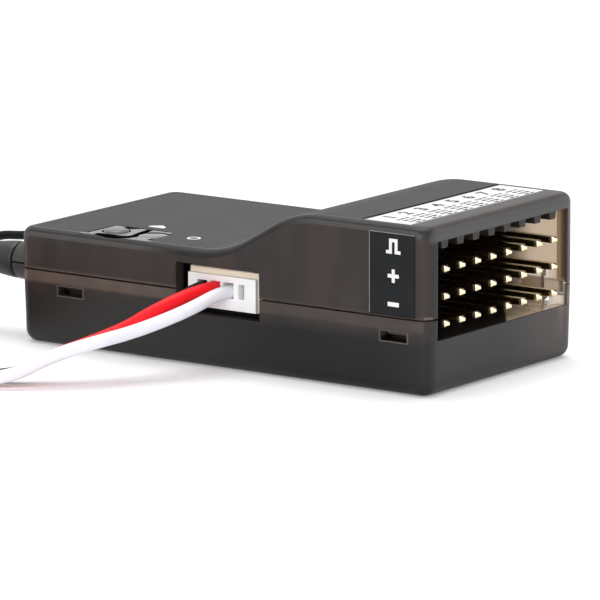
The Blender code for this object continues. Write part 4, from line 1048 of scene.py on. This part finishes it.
def make_polarity_marks(ink):
    """The square pulse, plus and minus on the side label, and a painted highlight along the label's
    left and top edges.
    """
    pulse = [
        (-0.8, -0.7), (-0.15, -0.7), (-0.15, 0.38), (0.15, 0.38), (0.15, -0.7), (0.8, -0.7),
        (0.8, -0.38), (0.47, -0.38), (0.47, 0.7), (-0.47, 0.7), (-0.47, -0.38), (-0.8, -0.38),
    ]
    arm, stroke = 0.62, 0.17
    plus = [
        (-arm, -stroke), (-stroke, -stroke), (-stroke, -arm), (stroke, -arm), (stroke, -stroke),
        (arm, -stroke), (arm, stroke), (stroke, stroke), (stroke, arm), (-stroke, arm),
        (-stroke, stroke), (-arm, stroke),
    ]
    minus = [(-0.62, -0.2), (0.62, -0.2), (0.62, 0.2), (-0.62, 0.2)]
    middle, face = 19.9, -HALF_WIDTH - 0.01
    marks = joined("polarity_marks", [
        outline_plate("mark", outline, 0.05, (1, 0, 0), (0, 0, 1), (0, 1, 0), (middle, face, z))
        for outline, z in ((pulse, 13.8), (plus, 11.05), (minus, 8.42))
    ])
    piece(marks, ink)
    start, end, low, high = SIDE_LABEL
    # Painted highlight: pale strips along the label's left and top edges.
    edge = joined("polarity_label_highlight", [
        blocks("edge", [((start - 0.04, face, low), (start + 0.03, face + 0.1, high))]),
        blocks("edge", [((start - 0.04, face, high - 0.03), (end, face + 0.1, high + 0.04))]),
    ])
    piece(edge, plain("painted_label_edge_highlight", "#77777a", "#8c8c8e", 0.5, 1.0))


def make_channel_marks():
    """A number and rows of dashes at each pin of the strip, and the strip's two borders."""
    half, low, high = FILM[2], STRIP_TOP - 0.03, STRIP_TOP + 0.02
    spots = []
    for n, y in enumerate(column_places()):
        place = Vector((17.2, y, STRIP_TOP + 0.005)) * MM
        turned_left = Matrix(((0, -1, 0), (1, 0, 0), (0, 0, 1))).to_4x4()
        spots.append(digit("digit", str(n + 1), 1.95, Matrix.Translation(place) @ turned_left))
        for x, aside, long, wide in DASHES:
            start, near = x - long / 2, y + aside - wide / 2
            end, far = x + long / 2, y + aside + wide / 2
            spots.append(blocks("dash", [((start, near, low), (end, far, high))]))
    for x in (STRIP[0] + 0.04, STRIP[1] - 0.14):
        spots.append(blocks("border", [((x, -half + 0.1, low), (x + 0.1, half - 0.1, high))]))
    dark_ink = plain("dark_ink", "#0c0c0d", "#161618", 0.5, 1.0)
    piece(joined("channel_marks", spots), dark_ink)


def make_button_marks(ink):
    """An arrow beside the button and a ring beside the lamp, on the bare island."""
    level = LOW_TOP + 0.01
    arrow = outline_plate(
        "arrow", [(-0.9, -0.45), (0.9, -0.45), (0.9, 0.0), (0, 0.75), (-0.9, 0.0)], -0.04,
        (1, 0, 0), (0, 1, 0), (0, 0, 1), (BUTTON[0] + 1.9, -4.9, level),
    )
    ring = ring_plate("ring", (LAMP[0] + 4.0, -7.8), 0.42, 0.68, level)
    piece(joined("button_marks", [arrow, ring]), ink)


def make_labels():
    """The film, the strip, the side label, and the marks on them."""
    make_top_film()
    make_flat_labels()
    ink = plain("white_ink", "#e4e4e4", "#f0f0f0", 0.5, 1.0)
    make_polarity_marks(ink)
    make_channel_marks()
    make_button_marks(ink)


# Pins

def make_pins(finish):
    """Each pin is a square section with small rounded corners, carried from its pointed tip
    along X, round its bend and down through the board."""
    half, corner, radius = PIN_WIDTH / 2, 0.07, 0.55
    quarter = np.linspace(0, np.pi / 2, 3)
    section = []
    for n, place in enumerate([(1, 1), (-1, 1), (-1, -1), (1, -1)]):
        angle = quarter + n * np.pi / 2
        rounding = corner * np.stack([np.cos(angle), np.sin(angle)], -1)
        section.append(np.array(place) * (half - corner) + rounding)
    section = np.concatenate(section)
    turn = np.linspace(0, np.pi / 2, 9)
    along = np.concatenate([
        np.tile((-1.0, 0, 0), (4, 1)), np.stack([-np.cos(turn), 0 * turn, -np.sin(turn)], -1),
        np.tile((0, 0, -1.0), (2, 1)),
    ])
    up = np.cross(along, (0, 1, 0))
    scale = np.array([0.45, 0.5, 0.97, 1.0] + [1.0] * 10 + [0.5])[:, None, None]
    spread_out = section[None, :, :1] * np.array((0, 1, 0)) + section[None, :, 1:] * up[:, None]
    for row, (z, bend) in PIN_ROWS.items():
        arc = [bend + radius - radius * np.sin(turn), 0 * turn, z - radius + radius * np.cos(turn)]
        path = np.concatenate([
            [(PIN_TIP - back, 0, z) for back in (0, 0.04, 0.3, 0.34)], np.stack(arc, -1),
            [(bend, 0, PIN_END + 0.3), (bend, 0, PIN_END)],
        ])
        rows = path[:, None] + scale * spread_out
        for column, y in enumerate(column_places()):
            pin = smooth(skin(f"{row}_pin_bar_{column + 1}", rows + (0, y, 0)), 25)
            piece(pin, finish, [f"{row}_pin_{column + 1}"])


# Side port

def make_side_port():
    """The socket, a block with a mouth, and its plug: a flange just outside the mouth with a nose
    into it, and a slot at each wire's place."""
    edge = bpy.context.scene.receiver.edge / MM
    low, high, front, back, half = 5.55, 9.4, -11.2, -5.4, 3.975
    wall, flange, nose = half - 0.6, half - 0.08, half - 0.85
    socket = blocks("port_housing", [((PORT_X - half, front, low), (PORT_X + half, back, high))])
    mouth = blocks("mouth", [
        ((PORT_X - wall, front - 1, low + 0.55), (PORT_X + wall, back - 1.2, high - 0.7))
    ])
    socket = rounded_edges(shaped(socket, cuts([mouth])), edge)
    cream = plain("cream_nylon", "#f8ead0", "#fff3de", 0.38, 1.5)
    piece(socket, cream, ["side_socket"])

    plug = blocks("lead_plug", [
        ((PORT_X - flange, -11.6, low + 0.08), (PORT_X + flange, -11.24, high - 0.6))
    ])
    steps = joins([blocks("nose", [
        ((PORT_X - nose, -11.45, low + 0.85), (PORT_X + nose, -6.9, high - 0.85))
    ])]) + cuts([blocks("slots", [
        ((x - wide, -13, PLUG_MIDDLE - tall), (x + wide, -9.45, PLUG_MIDDLE + tall))
        for x, wide, tall in (
            (PORT_X - 2.25, 0.58, 0.72), (PORT_X - 0.75, 0.56, 0.76),
            (PORT_X + 0.75, 0.6, 0.74), (PORT_X + 2.25, 0.35, 0.7),
        )
    ])])
    white = plain("white_nylon", "#f4f4f5", "#fcfcfc", 0.35, 1.5)
    piece(rounded_edges(shaped(plug, steps), edge * 0.7), white, ["side_plug"])


# Cords

def eased(value, start, end):
    """0 before the start, 1 past the end, and t * t * (3 - 2 * t) for the share t between."""
    share = np.clip((value - start) / (end - start), 0, 1)
    return share * share * (3 - 2 * share)


def bundle_offset(name, turns):
    """Where one wire lies round the lead's centre line in its coil, as (outwards, up): side by
    side at the start of each turn, and between starts a triangle that twists twice."""
    place, angle = WIRES[name]
    reach, spacing = 0.82, 1.4
    share = np.linspace(0, 1, COIL_STEPS, endpoint=False)
    gathered = eased(share, 0, 0.2) * (1 - eased(share, 0.8, 1))
    spun = 2 * np.pi * 2 * eased(share, 0.14, 0.86) + math.radians(angle)
    out = (1 - gathered) * -place * spacing + gathered * reach * np.cos(spun)
    lift = gathered * reach * np.sin(spun)
    return np.tile(np.stack([out, lift], -1), (turns, 1))


def lead_path(name):
    """The whole centre line of one wire: its free run, its turns of the coil, and its tail."""
    x, y, radius, turns = LEAD_COIL
    middle, place = CONNECTOR[2], WIRES[name][0]
    run = smooth_route(WIRE_ROUTES[name], 0.6)
    share = np.arange(turns * COIL_STEPS) / COIL_STEPS
    angle = -np.pi / 2 - 2 * np.pi * share
    offset = bundle_offset(name, turns)
    heights = np.array([
        (0, 0.65), (0.2, 1.5), (0.5, 1.5), (0.8, 1.5), (1, 2.05), (1.2, 4.3), (1.5, 4.3),
        (1.8, 4.25), (2, 3.4),
    ])
    z = np.interp(share, heights[:, 0], heights[:, 1])
    reach = 7
    weights = np.hanning(2 * reach + 1)
    ends = [np.full(reach, z[0]), z, np.full(reach, z[-1])]
    z = np.convolve(np.concatenate(ends), weights / weights.sum(), "valid")
    out = radius + offset[:, 0]
    coil = np.stack([x + out * np.cos(angle), y + out * np.sin(angle), z + offset[:, 1]], -1)
    tail = [(along, middle + place * apart, height) for along, apart, height in TAIL_ROUTE[::-1]]
    tail = smooth_route([(x, *tail[0][1:]), *tail], 0.6)
    whole = smooth_route(np.concatenate([run[:-1], coil, tail])[::2], 0.6)
    whole[:, 2] = np.maximum(whole[:, 2], WIRE_DIAMETER / 2 + 0.01)
    return whole


def make_connector():
    """The housing on the lead's far end: a block with three sockets and a latch over each."""
    end, face, middle, half, thick = CONNECTOR
    places = [middle + p for p in (-PITCH, 0, PITCH)]
    grip = blocks("lead_housing", [((end, middle - half, 0), (face, middle + half, thick))])
    steps = cuts([
        blocks("sockets", [
            ((end - 1, y - 0.7, thick / 2 - 0.7), (end + 7, y + 0.7, thick / 2 + 0.7))
            for y in places
        ]),
        blocks("latches", [
            ((end + 4.5, y - 0.45, thick - 0.35), (end + 9.5, y + 0.45, thick + 1))
            for y in places
        ]),
    ])
    housing = rounded_edges(shaped(grip, steps), 0.25)
    black = plain("black_nylon", "#101011", "#19191b", 0.42, 1.2, bump=0.2)
    return piece(housing, black, ["lead_connector"])


def make_leads(context):
    """Three round wires from inside the plug along their routes to the connector."""
    housing = make_connector()
    for name in WIRES:
        path = lead_path(name)
        x, _, z = path[0]
        route = np.concatenate([[(x, -9.9, PLUG_MIDDLE), (x, -10.7, z)], path])
        wire = smooth(tube(f"{name}_wire", route, WIRE_DIAMETER / 2), 50)
        nodes = [f"lead_wire_{name}", f"lead_tail_{name}"]
        if name == "red":
            nodes.append("lead_coil")
        finish = silicone_wire(name, getattr(context.scene.receiver, f"{name}_wire"))
        piece(wire, finish, nodes)


def aerial_path(label, side):
    """The whole centre line of an aerial: its route, lowered to the seam at the case, and then
    turns of a coil that rises as it goes round."""
    x, y, radius, way = AERIAL_COILS[label]
    turns, steps, drawn_at = 3.5, 64, 7.25
    route = [(along, side * aside, z) for along, aside, z in AERIAL_START + AERIAL_ROUTES[label]]
    run = smooth_route(route, 0.5)
    run[:, 2] -= (drawn_at - SEAM) * np.clip((run[:, 2] - 6) / 1.2, 0, 1)
    share = np.arange(1, turns * steps + 1) / steps
    angle = way * np.pi / 2 + way * 2 * np.pi * share
    z = 0.48 + 0.9 * share
    coil = np.stack([x + radius * np.cos(angle), y + radius * np.sin(angle), z], -1)
    return smooth_route(np.concatenate([run, coil])[::2], 0.5)


def make_aerials():
    """Two boots, each a turned profile with its rings evenly shared out, and the round wires
    that come out of them."""
    rubber = plain("moulded_rubber", "#1b1b1c", "#242426", 0.5, 1.0, bump=0.25, bump_size=0.12)
    jacket = plain("coax_jacket", "#0c0c0d", "#121213", 0.5, 0.8, Specular_IOR_Level=0.15)
    profile = np.array([
        (0.75, 0.3), (1.5, 0.3), (1.7, 0.22), (1.79, 0.0), (1.76, -0.5), (1.69, -1.2), (1.59, -2.0),
        (1.49, -2.8), (1.36, -3.8), (1.2, -4.8), (1.12, -5.3), (1.0, -5.55), (0.75, -5.6),
    ])
    share, at = np.linspace(0, 1, 49), np.linspace(0, 1, len(profile))
    rings = np.stack([np.interp(share, at, column) for column in profile.T], -1)
    for side, label in ((-1, "near"), (1, "far")):
        place = (NECK_END - 0.6, side * NECK_Y, SEAM)
        boot = smooth(turned(f"{label}_boot", rings, place, "X"), 45)
        piece(boot, rubber, [f"aerial_boot_{label}"])
        path = aerial_path(label, side)
        wire = smooth(tube(f"{label}_aerial", path, COAX_DIAMETER / 2, 16), 50)
        piece(wire, jacket, [f"aerial_wire_{label}", f"aerial_coil_{label}"])


# Stage

def make_floor(context):
    """A square sheet of paper just under the receiver."""
    half, drop = 3, 0.00003
    mesh = bpy.data.meshes.new("paper_floor")
    mesh.from_pydata(
        [(half * x, half * y, -drop) for x, y in ((-1, -1), (1, -1), (1, 1), (-1, 1))],
        [], [(0, 1, 2, 3)],
    )
    floor = object_of("paper_floor", mesh)
    mesh.materials.append(matt_paper(context.scene.receiver.floor))


def make_world(context):
    """A white surround that lights the receiver less than it shows in reflections."""
    world = bpy.data.worlds.new("studio")
    context.scene.world = world
    world.use_nodes = True
    tree = world.node_tree
    diffuse = node(tree, "ShaderNodeLightPath").outputs["Is Diffuse Ray"]
    feed(tree, tree.nodes["Background"], {
        "Color": (1, 1, 1, 1), "Strength": spread(tree, diffuse, 1.0, 0.55)
    })


def make_lamps(context):
    """Two square softboxes that face the receiver."""
    for name, place, size, power in (
        ("overhead_softbox", (-0.10, 0.10, 0.75), 0.6, 4.0),
        ("front_softbox", (0.35, -0.68, 0.27), 0.45, 2.5),
    ):
        lamp = bpy.data.lights.new(name, "AREA")
        lamp.shape, lamp.size, lamp.energy = "SQUARE", size, power
        lit = bpy.data.objects.new(name, lamp)
        context.scene.collection.objects.link(lit)
        lit.location = place
        lit.rotation_euler = (-Vector(place)).to_track_quat("-Z", "Y").to_euler()


def make_camera(context):
    """A camera at a distance from its target, turned round the upright axis from the front,
    lifted, and rolled about its line of sight."""
    turn, lift, roll = (math.radians(v) for v in (CAMERA_TURN, CAMERA_LIFT, CAMERA_ROLL))
    back = Vector((
        math.sin(turn) * math.cos(lift), -math.cos(turn) * math.cos(lift), math.sin(lift)
    ))
    right = Vector((math.cos(turn), math.sin(turn), 0))
    up = back.cross(right)
    across = math.cos(roll) * right + math.sin(roll) * up
    above = -math.sin(roll) * right + math.cos(roll) * up
    lens = bpy.data.cameras.new("camera")
    lens.sensor_width, lens.lens = SENSOR, FOCAL_PIXELS * SENSOR / PICTURE_PIXELS
    lens.clip_start, lens.clip_end = 0.01, 20
    camera = bpy.data.objects.new("camera", lens)
    context.scene.collection.objects.link(camera)
    place = Vector(CAMERA_TARGET) + CAMERA_DISTANCE * back
    aim = Matrix((across, above, back)).transposed()
    camera.matrix_world = Matrix.Translation(place) @ aim.to_4x4()
    context.scene.camera = camera
    context.scene.view_settings.view_transform = "Standard"


def make_stage(context):
    """The floor, the surround, the lamps and the camera."""
    make_floor(context)
    make_world(context)
    make_lamps(context)
    make_camera(context)


def make_inner_parts():
    """Materials of the CAD nodes that keep their own shape."""
    steel = tinned_steel()
    finishes = {
        "circuit_board": plain("glass_epoxy_board", "#141a17", "#1d2622", 0.3, 1.2),
        "header_insulator": plain("black_nylon_header", "#0e0e0f", "#161617", 0.5, 1.0),
        "radio_shield": steel, "crystal": steel, "aerial_plug_near": steel,
        "aerial_plug_far": steel, "bind_switch": steel,
        "processor": plain("moulded_epoxy", "#151516", "#202022", 0.45, 0.4),
        "status_lamp": plain("lamp_epoxy", "#cfcdb8", "#e4e2cc", 0.3, 0.5),
    }
    gold = gold_plate()
    finishes.update({f"side_contact_{n}": gold for n in range(1, 5)})
    for name, finish in finishes.items():
        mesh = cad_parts[name].data
        mesh.materials.clear()
        mesh.materials.append(finish)


def make_button_and_lamp():
    """The button, a domed cap with a wider foot under the cover, and the lamp's light pipe, a
    lens with a flange and a stem: profiles of (radius, height) turned about their upright axes."""
    top, ceiling = LOW_TOP, LOW_TOP - WALL
    cap = [
        (0, top + 0.24), (0.7, top + 0.23), (1.0, top + 0.19), (1.16, top + 0.1),
        (1.22, top - 0.02), (1.24, top - 0.2), (1.24, ceiling - 0.3), (1.8, ceiling - 0.3),
        (1.8, ceiling - 0.8), (0.75, ceiling - 0.8), (0.75, ceiling - 1.8), (0, ceiling - 1.8),
    ]
    satin = plain("satin_abs", "#5c5c5d", "#6a6a6b", 0.3, 0.7)
    button = smooth(turned("pairing_button", cap, (*BUTTON, 0)), 35)
    piece(button, satin, ["bind_button"], body="bind_button")
    lens = [
        (0, top - 0.03), (1.25, top - 0.03), (1.44, top - 0.06), (1.5, top - 0.15),
        (1.5, ceiling - 0.3), (2.1, ceiling - 0.3), (2.1, ceiling - 0.6), (1.5, ceiling - 0.9),
        (0.9, 6.55), (0, 6.55),
    ]
    pipe = smooth(turned("lamp_window", lens, (*LAMP, 0)), 35)
    piece(pipe, clear_acrylic(), ["light_pipe"])


class ReceiverOperator(bpy.types.Operator):
    bl_options = {"REGISTER", "UNDO"}


class RECEIVER_OT_stage(ReceiverOperator):
    """Adds the paper floor, the lamps, the world and the camera"""
    bl_idname, bl_label = "receiver.stage", "Stage"

    def execute(self, context):
        make_stage(context)
        return {"FINISHED"}


class RECEIVER_OT_leads(ReceiverOperator):
    """Adds the three wires of the lead and its connector"""
    bl_idname, bl_label = "receiver.leads", "Lead"

    def execute(self, context):
        make_leads(context)
        return {"FINISHED"}


class RECEIVER_OT_aerials(ReceiverOperator):
    """Adds the two aerials and their boots"""
    bl_idname, bl_label = "receiver.aerials", "Aerials"

    def execute(self, context):
        make_aerials()
        return {"FINISHED"}


class RECEIVER_OT_case(ReceiverOperator):
    """Adds the two shells of the case"""
    bl_idname, bl_label = "receiver.case", "Case"

    def execute(self, context):
        finish = smoked_polycarbonate()
        make_lower_shell(finish)
        make_upper_shell(finish)
        return {"FINISHED"}


class RECEIVER_OT_labels(ReceiverOperator):
    """Adds the top film, the channel strip and the side label"""
    bl_idname, bl_label = "receiver.labels", "Labels"

    def execute(self, context):
        make_labels()
        return {"FINISHED"}


class RECEIVER_OT_pins(ReceiverOperator):
    """Adds the three rows of pins"""
    bl_idname, bl_label = "receiver.pins", "Pins"

    def execute(self, context):
        make_pins(gold_plate())
        return {"FINISHED"}


class RECEIVER_OT_side_port(ReceiverOperator):
    """Adds the side socket and its plug"""
    bl_idname, bl_label = "receiver.side_port", "Side port"

    def execute(self, context):
        make_side_port()
        return {"FINISHED"}


class RECEIVER_OT_button(ReceiverOperator):
    """Adds the pairing button and the lamp window"""
    bl_idname, bl_label = "receiver.button", "Button and lamp"

    def execute(self, context):
        make_button_and_lamp()
        return {"FINISHED"}


class RECEIVER_OT_inner_parts(ReceiverOperator):
    """Gives the parts inside the case their finishes"""
    bl_idname, bl_label = "receiver.inner_parts", "Inner parts"

    def execute(self, context):
        make_inner_parts()
        return {"FINISHED"}


OPERATORS = (
    RECEIVER_OT_stage, RECEIVER_OT_leads, RECEIVER_OT_aerials, RECEIVER_OT_case, RECEIVER_OT_labels,
    RECEIVER_OT_pins, RECEIVER_OT_side_port, RECEIVER_OT_button, RECEIVER_OT_inner_parts,
)


class RECEIVER_PT_pieces(bpy.types.Panel):
    bl_label, bl_idname = "Receiver", "RECEIVER_PT_pieces"
    bl_space_type, bl_region_type, bl_category = "VIEW_3D", "UI", "Receiver"

    def draw(self, context):
        for name in ReceiverLooks.__annotations__:
            self.layout.prop(context.scene.receiver, name)
        for operator in OPERATORS:
            self.layout.operator(operator.bl_idname)


CLASSES = (ReceiverLooks, *OPERATORS, RECEIVER_PT_pieces)


def register():
    for cls in CLASSES:
        bpy.utils.register_class(cls)
    bpy.types.Scene.receiver = PointerProperty(type=ReceiverLooks)


def unregister():
    del bpy.types.Scene.receiver
    for cls in reversed(CLASSES):
        bpy.utils.unregister_class(cls)


def main():
    register()
    for operator in OPERATORS:
        group, name = operator.bl_idname.split(".")
        getattr(getattr(bpy.ops, group), name)()
    bpy.context.view_layer.update()


if __name__ == "__main__":
    main()
